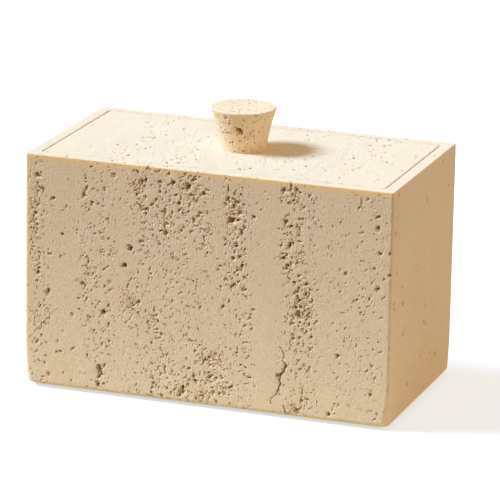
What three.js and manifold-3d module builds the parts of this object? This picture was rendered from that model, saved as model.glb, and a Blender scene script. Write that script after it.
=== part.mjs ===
// Cotton swab holder: a hollowed stone-look box, a lid that drops flush into its rim,
// and a flared round knob screwed to the lid from below.
// Millimetres, +Z up. The origin lies on the table under the middle of the box,
// +X runs along the box and the long front face looks towards -Y.

import Module from 'manifold-3d';
import * as THREE from 'three';
import { mergeVertices } from 'three/addons/utils/BufferGeometryUtils.js';

// Outside of the box
const boxWidth = 125;
const boxDepth = 68;
const boxHeight = 78;
const uprightEdgeRadius = 1.2;
const rimEdgeRadius = 0.4;
const baseEdgeRadius = 1.6;
const baseCornerRadius = 3.2;
const cornerSofteningHeight = 15;

// Open pits and a crack, as travertine has
const largestPit = 3.2;
const pitDepth = 1.3;
const crackWidth = 1.2;
const crackDepth = 1.1;

// Space for the swabs
const rimWidth = 4;
const ledgeWidth = 3;
const floorThickness = 7;
const spaceCornerRadius = 6;
const spaceFloorRadius = 4;
const spaceDraft = 1;

// Lid
const lidThickness = 7;
const lidGap = 0.4;
const lidCornerRadius = 0.8;
const lidEdgeRadius = 0.3;

// Knob: a flared stub whose side bows in a little
const knobHeight = 14;
const knobBaseRadius = 7.6;
const knobBowRadius = 8.4;
const knobTopRadius = 10.8;
const knobRimRadius = 0.4;
const knobFootRadius = 0.3;

// Threaded insert bonded into the knob
const insertRadius = 3.2;
const insertLength = 8;
const insertGrooveWidth = 1.6;
const insertGrooveDepth = 0.4;
const bondGap = 0.3;

// Screw and washer under the lid
const screwRadius = 2;
const screwTipChamfer = 0.5;
const screwTipGap = 2;
const screwHeadRadius = 3.8;
const screwHeadHeight = 2.2;
const screwHeadDome = 1;
const driveSlotLength = 4;
const driveSlotWidth = 0.9;
const driveSlotDepth = 1.3;
const washerRadius = 4.6;
const washerThickness = 0.8;
const shankClearance = 0.3;
const counterboreMargin = 0.9;
const headSetback = 0.5;

// Pads under the base
const padRadius = 6;
const padThickness = 2;
const padEdgeRadius = 0.4;
const padRecessDepth = 1;
const padRecessMargin = 0.4;
const padInset = 14;

// How far a cutter runs past the face that it opens
const cutOverrun = 2;
const pitOverrun = 0.3;

// The larger pits of the front face. Each row is the place along the face from the left and up from the
// base as shares of the face, width and height as shares of the largest pit, and the lean to the right as a
// share of a quarter turn
const pitShares = [
  [0.032, 0.915, 0.5, 0.63, 0.2],
  [0.048, 0.851, 0.31, 0.69, 0],
  [0.034, 0.841, 0.41, 0.38, 0],
  [0.074, 0.818, 0.28, 0.78, 0.61],
  [0.168, 0.877, 0.28, 0.88, 0.31],
  [0.162, 0.851, 0.44, 0.81, 0.1],
  [0.184, 0.815, 0.38, 0.66, 0.2],
  [0.201, 0.817, 0.2, 0.66, 0.55],
  [0.22, 0.883, 0.31, 0.5, 0],
  [0.245, 0.948, 0.41, 0.41, 0],
  [0.332, 0.94, 0.31, 0.53, 0.6],
  [0.321, 0.932, 0.31, 0.47, 0],
  [0.329, 0.815, 0.34, 1, 0.73],
  [0.289, 0.643, 0.5, 0.6, 0.2],
  [0.321, 0.677, 0.56, 0.31, 0],
  [0.274, 0.566, 0.6, 0.5, 0],
  [0.175, 0.561, 0.19, 0.75, 0.2],
  [0.068, 0.58, 0.38, 0.31, 0],
  [0.406, 0.941, 0.56, 0.47, -0.33],
  [0.446, 0.933, 0.53, 0.72, 0.28],
  [0.49, 0.909, 0.63, 0.38, -0.17],
  [0.455, 0.897, 0.44, 0.41, 0],
  [0.415, 0.891, 0.22, 0.5, 0.67],
  [0.426, 0.855, 0.25, 0.44, 0.28],
  [0.453, 0.855, 0.16, 0.69, 0.1],
  [0.361, 0.859, 0.28, 0.63, 0.33],
  [0.388, 0.818, 0.31, 0.78, 0.06],
  [0.405, 0.817, 0.25, 0.66, 0],
  [0.465, 0.796, 0.34, 0.63, -0.22],
  [0.482, 0.827, 0.38, 0.47, -0.22],
  [0.388, 0.726, 0.53, 0.63, -0.1],
  [0.37, 0.942, 0.31, 0.38, 0.33],
  [0.557, 0.943, 0.22, 0.84, 0],
  [0.556, 0.9, 0.44, 0.53, 0.44],
  [0.551, 0.877, 0.31, 0.44, -0.22],
  [0.581, 0.89, 0.63, 0.38, -0.1],
  [0.589, 0.847, 0.41, 0.5, 0.39],
  [0.565, 0.81, 1, 0.69, -0.13],
  [0.594, 0.762, 0.38, 0.75, -0.1],
  [0.581, 0.703, 0.28, 0.63, 0.72],
  [0.592, 0.662, 0.5, 0.38, 0],
  [0.596, 0.619, 0.38, 0.81, 0.33],
  [0.569, 0.527, 0.34, 0.41, 0.22],
  [0.606, 0.522, 0.44, 0.28, -0.17],
  [0.707, 0.96, 0.6, 0.44, 0],
  [0.74, 0.961, 0.28, 0.6, 0],
  [0.712, 0.828, 0.34, 0.66, 0.17],
  [0.727, 0.812, 0.47, 0.38, 0],
  [0.726, 0.73, 0.44, 0.78, 0.17],
  [0.716, 0.693, 0.28, 0.53, 0.1],
  [0.707, 0.675, 0.28, 0.81, 0.67],
  [0.72, 0.648, 0.28, 0.41, 0],
  [0.741, 0.58, 0.47, 0.28, 0.17],
  [0.77, 0.576, 0.53, 0.28, 0],
  [0.78, 0.536, 0.31, 0.41, 0],
  [0.754, 0.507, 0.47, 0.31, 0],
  [0.913, 0.95, 0.19, 1, 0],
  [0.958, 0.847, 0.38, 0.6, 0.17],
  [0.966, 0.741, 0.28, 0.41, -0.5],
  [0.962, 0.589, 0.63, 0.34, 0.06],
  [0.033, 0.492, 0.44, 0.38, 0],
  [0.062, 0.411, 0.41, 0.81, 0.22],
  [0.133, 0.174, 0.17, 0.78, 0.55],
  [0.131, 0.328, 0.31, 0.47, 0],
  [0.158, 0.464, 0.56, 0.44, 0],
  [0.237, 0.451, 0.22, 0.56, 0.61],
  [0.218, 0.353, 0.66, 0.6, 0],
  [0.232, 0.303, 0.28, 0.53, -0.22],
  [0.217, 0.213, 0.28, 0.53, 0.17],
  [0.206, 0.111, 0.6, 0.78, 0],
  [0.212, 0.089, 0.56, 0.75, -0.1],
  [0.316, 0.413, 0.41, 0.5, -0.33],
  [0.298, 0.401, 0.53, 0.28, 0],
  [0.462, 0.276, 0.53, 0.31, -0.17],
  [0.502, 0.198, 0.47, 0.28, 0.1],
  [0.51, 0.21, 0.28, 0.53, 0.5],
  [0.529, 0.231, 0.5, 0.25, 0.06],
  [0.514, 0.18, 0.47, 0.28, -0.17],
  [0.516, 0.125, 0.44, 0.34, 0],
  [0.39, 0.148, 0.25, 0.53, 0.1],
  [0.473, 0.105, 0.5, 0.25, 0.1],
  [0.454, 0.082, 0.22, 0.5, 0.28],
  [0.44, 0.059, 0.47, 1, 0.09],
  [0.354, 0.092, 0.53, 0.22, 0.1],
  [0.57, 0.091, 0.25, 1, 0.69],
  [0.63, 0.441, 0.53, 0.25, 0.13],
  [0.613, 0.296, 0.56, 0.2, 0],
  [0.621, 0.148, 0.6, 0.22, 0.13],
  [0.751, 0.446, 0.56, 0.63, 0],
  [0.782, 0.407, 0.19, 0.6, 0.06],
  [0.763, 0.383, 0.41, 0.31, 0],
  [0.785, 0.354, 0.38, 0.28, 0.17],
  [0.755, 0.25, 0.53, 0.25, 0],
  [0.768, 0.074, 0.41, 0.31, 0],
  [0.86, 0.287, 0.41, 0.6, 0.1],
  [0.95, 0.139, 0.31, 0.41, 0.1],
  [0.94, 0.238, 0.22, 0.38, 0.55],
];

// Radii of a ring round a pit as shares of its size, so that no pit is a plain oval
const raggedShares = [1.1, 0.82, 1.04, 0.9, 1.14, 0.86, 0.96];

// Pits of the right side, as on the front, but along it from the front edge
const rightPitShares = [
  [0.069, 0.974, 0.47, 0.19, 0.11],
  [0.043, 0.818, 0.22, 0.28, 0],
  [0.185, 0.492, 0.25, 0.25, 0],
  [0.203, 0.354, 0.28, 0.22, 0.22],
  [0.018, 0.179, 0.11, 1.25, 0],
  [0.018, 0.087, 0.11, 0.94, 0],
  [0.018, 0.347, 0.11, 0.69, 0],
  [0.747, 0.133, 0.16, 0.44, -0.67],
];

// Pits of the lid: the place along it and from its front edge as shares, then as on the front
const lidPitShares = [
  [0.25, 0.284, 0.28, 0.41, 0],
  [0.235, 0.11, 0.34, 0.56, 0],
  [0.369, 0.15, 0.25, 0.37, 0],
  [0.39, 0.064, 0.44, 0.37, 0],
  [0.361, 0.047, 0.22, 0.56, 0],
  [0.593, 0.108, 0.31, 0.47, 0],
  [0.728, 0.279, 0.31, 0.37, 0],
  [0.71, 0.492, 0.25, 0.41, 0],
  [0.82, 0.539, 0.28, 0.44, 0],
  [0.86, 0.858, 0.31, 0.5, 0],
  [0.872, 0.889, 0.22, 0.44, 0.44],
  [0.842, 0.709, 0.25, 0.34, 0],
  [0.919, 0.532, 0.28, 0.41, 0],
];

// Pits of the knob: the place round it from the front as a share of a full turn, up its side as a share,
// then as on the front
const knobPitShares = [
  [0.024, 0.6, 0.72, 0.5, 0.2],
  [0.046, 0.55, 0.44, 0.34, 0.5],
  [-0.086, 0.469, 0.44, 0.19, 0],
  [-0.052, 0.492, 0.4, 0.19, 0],
  [-0.044, 0.9, 0.31, 0.28, 0],
  [-0.026, 0.748, 0.28, 0.25, 0],
  [0.047, 0.74, 0.28, 0.19, 0.3],
  [-0.019, 0.254, 0.34, 0.25, 0],
  [0.11, 0.583, 0.25, 0.22, 0],
  [0.134, 0.245, 0.25, 0.19, 0],
];

// How wide a pit still is at shares of its depth
const pitWallShares = [
  [0, 1],
  [0.45, 0.88],
  [1, 0.5],
];

// The crack, lowest point first: place along the face and up it, and width as a share of its greatest
const crackShares = [
  [0.687, 0.047, 0.25],
  [0.683, 0.053, 0.3],
  [0.683, 0.068, 0.3],
  [0.691, 0.08, 0.35],
  [0.7, 0.097, 0.5],
  [0.704, 0.113, 0.6],
  [0.707, 0.135, 0.6],
  [0.705, 0.157, 0.75],
  [0.711, 0.179, 0.85],
  [0.719, 0.197, 0.6],
  [0.723, 0.216, 1],
  [0.719, 0.225, 0.6],
  [0.711, 0.239, 0.25],
];
const upperCrackShares = [
  [0.717, 0.244, 0.25],
  [0.715, 0.268, 0.4],
  [0.71, 0.288, 0.4],
  [0.703, 0.296, 0.25],
];

// Facets of round shapes
const cornerSteps = 4;
const edgeSteps = 4;
const softeningSteps = 6;
const bowSteps = 8;
const knobSides = 64;
const smallSides = 32;

// Worked out from the sizes above
const quarterTurn = Math.PI / 2;
const standOff = padThickness - padRecessDepth;
const ledgeHeight = boxHeight - lidThickness;
const recessWidth = boxWidth - 2 * rimWidth;
const recessDepth = boxDepth - 2 * rimWidth;
const spaceWidth = recessWidth - 2 * ledgeWidth;
const spaceDepth = recessDepth - 2 * ledgeWidth;
const lidWidth = recessWidth - 2 * lidGap;
const lidDepth = recessDepth - 2 * lidGap;
const headTop = headSetback + screwHeadHeight;
const counterboreDepth = headTop + washerThickness;
const shankHoleRadius = screwRadius + shankClearance;
const screwTip = lidThickness + insertLength - screwTipGap;

const manifold = await Module();
manifold.setup();

// Solids for joining and cutting

function toSolid(geometry) {
  const bare = geometry.clone();
  bare.deleteAttribute('normal');
  bare.deleteAttribute('uv');
  const merged = mergeVertices(bare);
  const corners = merged.index.array;
  const kept = [];
  for (let start = 0; start < corners.length; start += 3) {
    const [a, b, c] = corners.slice(start, start + 3);
    if (a !== b && b !== c && c !== a) {
      kept.push(a, b, c);
    }
  }
  const mesh = new manifold.Mesh({
    numProp: 3,
    vertProperties: new Float32Array(merged.attributes.position.array),
    triVerts: new Uint32Array(kept),
  });
  return new manifold.Manifold(mesh);
}

function toGeometry(solid) {
  const mesh = solid.getMesh();
  const geometry = new THREE.BufferGeometry();
  geometry.setAttribute('position', new THREE.BufferAttribute(mesh.vertProperties, 3));
  geometry.setIndex(new THREE.BufferAttribute(mesh.triVerts, 1));
  geometry.computeVertexNormals();
  return geometry;
}

// Cuts every cutter's shape out of a block
function carve(block, cutters) {
  const carved = cutters.reduce((rest, cutter) => rest.subtract(toSolid(cutter)), toSolid(block));
  return toGeometry(carved);
}

// Basic forms

// A rounded rectangle round the Z axis, anticlockwise seen from above
function roundedOutline(width, depth, radius) {
  const x = width / 2 - radius;
  const y = depth / 2 - radius;
  const outline = new THREE.Path();
  outline.absarc(x, y, radius, 0, quarterTurn);
  outline.absarc(-x, y, radius, quarterTurn, 2 * quarterTurn);
  outline.absarc(-x, -y, radius, 2 * quarterTurn, 3 * quarterTurn);
  outline.absarc(x, -y, radius, 3 * quarterTurn, 4 * quarterTurn);
  return outline.getPoints(cornerSteps);
}

function middleOf(ring) {
  const sum = ring.reduce((total, point) => total.add(point), new THREE.Vector3());
  return sum.divideScalar(ring.length);
}

// A closed skin over rings of points that follow each other, anticlockwise seen from the last ring
function skin(rings) {
  const first = rings[0];
  const last = rings[rings.length - 1];
  const points = [...rings.flat(), middleOf(first), middleOf(last)];
  const firstMiddle = points.length - 2;
  const lastMiddle = points.length - 1;
  const lastRing = firstMiddle - last.length;
  const faces = [];
  for (let step = 0; step < first.length; step += 1) {
    const next = (step + 1) % first.length;
    for (let ring = 0; ring < lastRing; ring += first.length) {
      const after = ring + first.length;
      faces.push(ring + step, ring + next, after + next);
      faces.push(ring + step, after + next, after + step);
    }
    faces.push(firstMiddle, next, step);
    faces.push(lastMiddle, lastRing + step, lastRing + next);
  }
  const geometry = new THREE.BufferGeometry().setFromPoints(points);
  geometry.setIndex(faces);
  geometry.computeVertexNormals();
  return geometry;
}

// A closed skin over rounded rectangles stacked along Z, lowest first
function loft(levels) {
  return skin(levels.map(({ width, depth, radius, z }) =>
    roundedOutline(width, depth, radius).map((point) => new THREE.Vector3(point.x, point.y, z))));
}

// A profile of radius and height, turned round the Z axis
function turned(profile, sides) {
  const points = profile.map(([radius, height]) => new THREE.Vector2(radius, height));
  return new THREE.LatheGeometry(points, sides).rotateX(quarterTurn);
}

// A flat ring or washer
function ring(innerRadius, outerRadius, low, high) {
  return [
    [innerRadius, low],
    [outerRadius, low],
    [outerRadius, high],
    [innerRadius, high],
    [innerRadius, low],
  ];
}

// A round drill that fills the hole from low to high
function drill(radius, low, high, x = 0, y = 0) {
  const rod = new THREE.CylinderGeometry(radius, radius, high - low, smallSides);
  return rod.rotateX(quarterTurn).translate(x, y, (low + high) / 2);
}

// Box

// Plan radius of an upright edge, which softens towards the base
function uprightRadius(z) {
  const above = Math.min(z / cornerSofteningHeight, 1);
  return THREE.MathUtils.lerp(uprightEdgeRadius, baseCornerRadius, (1 - above) ** 2);
}

function boxLevel(z, inset) {
  return {
    width: boxWidth - 2 * inset,
    depth: boxDepth - 2 * inset,
    radius: uprightRadius(z),
    z,
  };
}

function boxOutside() {
  const levels = [];
  for (let step = 0; step <= edgeSteps; step += 1) {
    const angle = (step / edgeSteps) * quarterTurn;
    levels.push(boxLevel(baseEdgeRadius * (1 - Math.cos(angle)), baseEdgeRadius * (1 - Math.sin(angle))));
  }
  for (let step = 1; step <= softeningSteps; step += 1) {
    const z = THREE.MathUtils.lerp(baseEdgeRadius, cornerSofteningHeight, step / softeningSteps);
    levels.push(boxLevel(z, 0));
  }
  for (let step = 0; step <= edgeSteps; step += 1) {
    const angle = (step / edgeSteps) * quarterTurn;
    const z = boxHeight - rimEdgeRadius * (1 - Math.sin(angle));
    levels.push(boxLevel(z, rimEdgeRadius * (1 - Math.cos(angle))));
  }
  return loft(levels);
}

// The swab space widens from its floor to the ledge, so that the box leaves its mould
function swabSpace() {
  const levels = [];
  for (let step = 0; step <= edgeSteps; step += 1) {
    const angle = (step / edgeSteps) * quarterTurn;
    const inset = spaceDraft + spaceFloorRadius * (1 - Math.sin(angle));
    levels.push({
      width: spaceWidth - 2 * inset,
      depth: spaceDepth - 2 * inset,
      radius: spaceCornerRadius,
      z: floorThickness + spaceFloorRadius * (1 - Math.cos(angle)),
    });
  }
  for (const z of [ledgeHeight, ledgeHeight + cutOverrun]) {
    levels.push({ width: spaceWidth, depth: spaceDepth, radius: spaceCornerRadius, z });
  }
  return loft(levels);
}

function lidRecess() {
  const radius = lidCornerRadius + lidGap;
  return loft([
    { width: recessWidth, depth: recessDepth, radius, z: ledgeHeight },
    { width: recessWidth, depth: recessDepth, radius, z: boxHeight + cutOverrun },
  ]);
}

// Middles of the four pads, as [name, x, y]
function padPlaces() {
  const x = boxWidth / 2 - padInset;
  const y = boxDepth / 2 - padInset;
  return [
    ['front_left', -x, -y],
    ['front_right', x, -y],
    ['rear_left', -x, y],
    ['rear_right', x, y],
  ];
}

// A place on the front face, and how far in front of it or, if negative, behind it
function onFront(alongShare, upShare, before) {
  return new THREE.Vector3((alongShare - 0.5) * boxWidth, -boxDepth / 2 - before, upShare * boxHeight);
}

// A ragged hollow that narrows inwards from its mouth at the origin, which looks towards -Y
function pit([, , widthShare, heightShare, leanShare], index) {
  const depth = pitDepth * Math.sqrt(widthShare * heightShare);
  const inwards = new THREE.Vector3(0, 1, 0);
  const rings = [[-pitOverrun / depth, 1], ...pitWallShares].map(([depthShare, sizeShare]) =>
    raggedShares.map((_, step) => {
      const angle = (-step / raggedShares.length) * 4 * quarterTurn;
      const reach = raggedShares[(step + index) % raggedShares.length] * sizeShare * largestPit / 2;
      const across = reach * widthShare * Math.cos(angle);
      const up = reach * heightShare * Math.sin(angle);
      const corner = new THREE.Vector3(across, depth * depthShare, up);
      return corner.applyAxisAngle(inwards, leanShare * quarterTurn);
    }));
  return skin(rings);
}

function frontPit(shares, index) {
  const { x, y, z } = onFront(shares[0], shares[1], 0);
  return pit(shares, index).translate(x, y, z);
}

function rightPit(shares, index) {
  const y = (shares[0] - 0.5) * boxDepth;
  return pit(shares, index).rotateZ(quarterTurn).translate(boxWidth / 2, y, shares[1] * boxHeight);
}

// A wedge-shaped groove through a row of points, lowest first
function crack(points) {
  const flare = (crackDepth + pitOverrun) / crackDepth;
  return skin(points.map(([alongShare, upShare, widthShare]) => {
    const half = new THREE.Vector3(widthShare * crackWidth * flare / 2, 0, 0);
    const mouth = onFront(alongShare, upShare, pitOverrun * widthShare);
    const bottom = onFront(alongShare, upShare, -crackDepth * widthShare);
    return [mouth.clone().sub(half), mouth.clone().add(half), bottom];
  }));
}

function makeBox() {
  const padRecesses = padPlaces().map(([, x, y]) =>
    drill(padRadius + padRecessMargin, -cutOverrun, padRecessDepth, x, y));
  const pits = [...pitShares.map(frontPit), ...rightPitShares.map(rightPit)];
  const cracks = [crack(crackShares), crack(upperCrackShares)];
  return carve(boxOutside(), [swabSpace(), lidRecess(), ...padRecesses, ...pits, ...cracks]);
}

// Lid

function lidPit(shares, index) {
  const x = (shares[0] - 0.5) * lidWidth;
  const y = (shares[1] - 0.5) * lidDepth;
  return pit(shares, index).rotateX(-quarterTurn).translate(x, y, lidThickness);
}

function makeLid() {
  const levels = [];
  for (let step = 0; step <= edgeSteps; step += 1) {
    const angle = (step / edgeSteps) * quarterTurn;
    const inset = lidEdgeRadius * (1 - Math.sin(angle));
    const z = lidEdgeRadius * (1 - Math.cos(angle));
    levels.push({ inset, z });
  }
  const upper = levels.map(({ inset, z }) => ({ inset, z: lidThickness - z })).reverse();
  const plate = loft([...levels, ...upper].map(({ inset, z }) => ({
    width: lidWidth - 2 * inset,
    depth: lidDepth - 2 * inset,
    radius: lidCornerRadius,
    z,
  })));
  return carve(plate, [
    drill(washerRadius + counterboreMargin, -cutOverrun, counterboreDepth),
    drill(shankHoleRadius, -cutOverrun, lidThickness + cutOverrun),
    ...lidPitShares.map(lidPit),
  ]);
}

// Knob and what holds it

// The outline of the knob's side, as radius and height
function knobSide() {
  return new THREE.QuadraticBezierCurve(
    new THREE.Vector2(knobBaseRadius, knobFootRadius),
    new THREE.Vector2(knobBowRadius, knobHeight / 2),
    new THREE.Vector2(knobTopRadius, knobHeight - knobRimRadius),
  );
}

function knobPit(shares, index) {
  const place = knobSide().getPoint(shares[1]);
  const slope = knobSide().getTangent(shares[1]);
  const hollow = pit(shares, index).rotateX(Math.atan2(slope.x, slope.y));
  return hollow.translate(0, -place.x, place.y).rotateZ(shares[0] * 4 * quarterTurn);
}

function makeKnob() {
  const holeRadius = insertRadius + bondGap;
  const holeDepth = insertLength + bondGap;
  const stub = turned([
    [0, holeDepth],
    [holeRadius, holeDepth],
    [holeRadius, 0],
    [knobBaseRadius - knobFootRadius, 0],
    ...knobSide().getPoints(bowSteps).map((point) => [point.x, point.y]),
    [knobTopRadius - knobRimRadius, knobHeight],
    [0, knobHeight],
  ], knobSides);
  return carve(stub, knobPitShares.map(knobPit));
}

function makeInsert() {
  const grooveLow = (insertLength - insertGrooveWidth) / 2;
  const grooveHigh = grooveLow + insertGrooveWidth;
  const grooveRadius = insertRadius - insertGrooveDepth;
  return turned([
    [shankHoleRadius, 0],
    [insertRadius, 0],
    [insertRadius, grooveLow],
    [grooveRadius, grooveLow],
    [grooveRadius, grooveHigh],
    [insertRadius, grooveHigh],
    [insertRadius, insertLength],
    [shankHoleRadius, insertLength],
    [shankHoleRadius, 0],
  ], smallSides);
}

function makeScrew() {
  const dome = new THREE.QuadraticBezierCurve(
    new THREE.Vector2(0, headSetback),
    new THREE.Vector2(screwHeadRadius, headSetback),
    new THREE.Vector2(screwHeadRadius, headSetback + screwHeadDome),
  );
  const blank = turned([
    ...dome.getPoints(edgeSteps).map((point) => [point.x, point.y]),
    [screwHeadRadius, headTop],
    [screwRadius, headTop],
    [screwRadius, screwTip - screwTipChamfer],
    [screwRadius - screwTipChamfer, screwTip],
    [0, screwTip],
  ], smallSides);
  const slotHeight = driveSlotDepth + cutOverrun;
  const slotMiddle = headSetback + driveSlotDepth - slotHeight / 2;
  const slots = [
    new THREE.BoxGeometry(driveSlotLength, driveSlotWidth, slotHeight),
    new THREE.BoxGeometry(driveSlotWidth, driveSlotLength, slotHeight),
  ];
  return carve(blank, slots.map((slot) => slot.translate(0, 0, slotMiddle)));
}

function makeWasher() {
  return turned(ring(shankHoleRadius, washerRadius, headTop, counterboreDepth), smallSides);
}

function makePad() {
  return turned([
    [0, 0],
    [padRadius - padEdgeRadius, 0],
    [padRadius, padEdgeRadius],
    [padRadius, padThickness],
    [0, padThickness],
  ], smallSides);
}

// Assembly

function piece(name, geometry, color, roughness, metalness) {
  const material = new THREE.MeshStandardMaterial({ color, roughness, metalness });
  const mesh = new THREE.Mesh(geometry, material);
  mesh.name = name;
  return mesh;
}

const holder = new THREE.Group();

const box = piece('box_body', makeBox(), 0xdcc5a0, 0.85, 0);
box.position.z = standOff;
holder.add(box);

for (const [place, x, y] of padPlaces()) {
  const pad = piece(`foot_pad_${place}`, makePad(), 0xe6e2da, 0.6, 0);
  pad.position.set(x, y, 0);
  holder.add(pad);
}

const lidGroup = new THREE.Group();
lidGroup.position.z = standOff + ledgeHeight;
lidGroup.add(piece('lid_plate', makeLid(), 0xe6d2b0, 0.85, 0));
lidGroup.add(piece('knob_screw', makeScrew(), 0xb9bbbd, 0.35, 1));
lidGroup.add(piece('screw_washer', makeWasher(), 0xc2c4c6, 0.4, 1));

const knobGroup = new THREE.Group();
knobGroup.position.z = lidThickness;
knobGroup.add(piece('knob', makeKnob(), 0xdcc29a, 0.8, 0));
knobGroup.add(piece('knob_insert', makeInsert(), 0xb8924a, 0.4, 1));
lidGroup.add(knobGroup);
holder.add(lidGroup);

export default holder;
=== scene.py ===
"""Cotton swab holder in travertine look: box, flush lid and flared knob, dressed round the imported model.

Reliefs are worked out on flat sheets and then pressed into the surfaces, so that the pits and the crack are
real geometry. Only the finest pores are material. Lengths are millimetres in the reliefs, in the points of
the meshes before they are built and in names that end in _MM, and metres elsewhere.
"""

import math

import bmesh
import bpy
import numpy as np
from mathutils import Matrix, Vector


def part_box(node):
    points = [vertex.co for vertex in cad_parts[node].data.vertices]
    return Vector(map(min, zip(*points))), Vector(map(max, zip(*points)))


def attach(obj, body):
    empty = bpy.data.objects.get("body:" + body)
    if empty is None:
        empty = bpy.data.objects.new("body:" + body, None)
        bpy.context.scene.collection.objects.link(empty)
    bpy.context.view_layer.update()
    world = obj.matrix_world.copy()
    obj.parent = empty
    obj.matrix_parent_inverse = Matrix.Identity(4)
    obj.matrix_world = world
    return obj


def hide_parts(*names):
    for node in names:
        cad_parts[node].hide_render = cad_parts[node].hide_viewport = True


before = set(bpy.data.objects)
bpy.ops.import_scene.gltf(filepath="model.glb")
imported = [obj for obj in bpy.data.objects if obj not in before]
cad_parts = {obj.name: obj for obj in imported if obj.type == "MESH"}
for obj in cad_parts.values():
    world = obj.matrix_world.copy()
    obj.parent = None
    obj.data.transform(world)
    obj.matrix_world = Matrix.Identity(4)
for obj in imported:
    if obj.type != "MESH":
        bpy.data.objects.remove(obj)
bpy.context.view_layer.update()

MM = 0.001

# Sizes read from the frame, in millimetres
body_low, body_high = (np.array(corner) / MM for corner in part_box("box_body"))
lid_low, lid_high = (np.array(corner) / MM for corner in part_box("lid_plate"))
knob_low, knob_high = (np.array(corner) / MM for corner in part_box("knob"))
WIDTH_MM, DEPTH_MM, HEIGHT_MM = body_high - body_low
RIM_TOP_MM = body_high[2]
BASE_MM = body_low[2]
LEDGE_MM = lid_low[2]
LID_TOP_MM = lid_high[2]
LID_WIDTH_MM, LID_DEPTH_MM = (lid_high - lid_low)[:2]
KNOB_HEIGHT_MM = knob_high[2] - knob_low[2]
KNOB_TOP_RADIUS_MM = (knob_high[0] - knob_low[0]) / 2

# Sizes that the frame's boxes don't show: as in the part, whose upright edges are a little rounder
SEAM_MM = 0.4
RIM_MM = (WIDTH_MM - LID_WIDTH_MM) / 2 - SEAM_MM
RIM_INNER_EDGE_MM = 0.2
LEDGE_WIDTH_MM = 3.0
FLOOR_MM = 7.0
UPRIGHT_RADIUS_MM = 0.9
BASE_CORNER_RADIUS_MM = 3.2
SOFTENING_MM = 15.0
BASE_EDGE_MM = 1.6
RIM_EDGE_MM = 0.4
SPACE_CORNER_MM = 6.0
SPACE_FLOOR_RADIUS_MM = 4.0
SPACE_DRAFT_MM = 1.0
LID_CORNER_MM = 0.8
LID_EDGE_MM = 0.3
KNOB_BASE_RADIUS_MM = 7.6
KNOB_BOW_RADIUS_MM = 8.4
KNOB_MEAN_RADIUS_MM = (KNOB_BASE_RADIUS_MM + KNOB_TOP_RADIUS_MM) / 2
KNOB_EDGE_MM = 0.4
PAD_RADIUS_MM = 6.0
PAD_RECESS_MARGIN_MM = 0.4
PAD_RECESS_MM = 1.0
HOLE_RADIUS_MM = 2.3
COUNTERBORE_RADIUS_MM = 5.5
COUNTERBORE_MM = 3.5
INSERT_HOLE_RADIUS_MM = 3.5
INSERT_HOLE_MM = 8.3

# The knob's last ring of points, how uneven it may be, and how far drills reach beyond a surface
KNOB_MIDDLE_RADIUS_MM = 0.3
KNOB_MIDDLE_DIP_MM = 0.6
DRILL_OVERLAP_MM = 0.5

# The four sides unrolled side by side: front, right, back and left
STRIP_MM = 2 * (WIDTH_MM + DEPTH_MM)

# Spacing of the fine grids, and the triangles kept of them
GRID_MM = 0.17
KNOB_GRID_MM = min(GRID_MM, 0.26)
CELL_MM = 0.1
BODY_TRIANGLES = 192000
LID_TRIANGLES = 80000
KNOB_TRIANGLES = 50000

# Points this near to a plane belong to it, and edges that bend more than this are kept crisp
TOUCH_MM = 0.02
SHARP_DEGREES = 13

# Width and depth of the worn rim at the lower right of a pit, which is also painted paler as a highlight
WORN_MM = 0.5
WORN_DEPTH_MM = 0.34

# Depth of the crack and of the scratch, and the smallest pits of the front's bands
CRACK_MM = 0.8
SCRATCH_MM = 0.12
BAND_LEAST_MM = 0.38

# How deep the pits' stains and painted light reach below a side, a top and the knob's top, and the base's
# clean edge
SIDE_STAIN_AND_PAINTED_LIGHT_MM = 2.0
TOP_STAIN_AND_PAINTED_LIGHT_MM = 1.6
KNOB_TOP_STAIN_AND_PAINTED_LIGHT_MM = 0.8
BASE_CLEAN_MM = 0.05

# How strongly painted shade darkens the narrow seam's walls, from 0 to 1, and where they start below the
# top
SEAM_PAINTED_SHADE = 0.14
SEAM_FROM_MM = 0.1


# Reliefs: depth below a flat sheet


def ease(share):
    return share * share * (3 - 2 * share)


def smooth(low, high, value):
    """Smooth step from 0 at low to 1 at high."""
    return ease(np.clip((value - low) / (high - low), 0, 1))


def value_noise(rng, rows, cols, step):
    """Smooth random values from 0 to 1 on a grid, with a new value every step cells."""
    lattice = rng.random((int(rows / step) + 3, int(cols / step) + 3))
    down, across = np.arange(rows) / step, np.arange(cols) / step
    row, col = down.astype(int), across.astype(int)
    fine_row, fine_col = ease(down - row)[:, None], ease(across - col)[None, :]
    upper = lattice[np.ix_(row, col)] * (1 - fine_col) + lattice[np.ix_(row, col + 1)] * fine_col
    lower = lattice[np.ix_(row + 1, col)] * (1 - fine_col) + lattice[np.ix_(row + 1, col + 1)] * fine_col
    return upper * (1 - fine_row) + lower * fine_row


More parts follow.
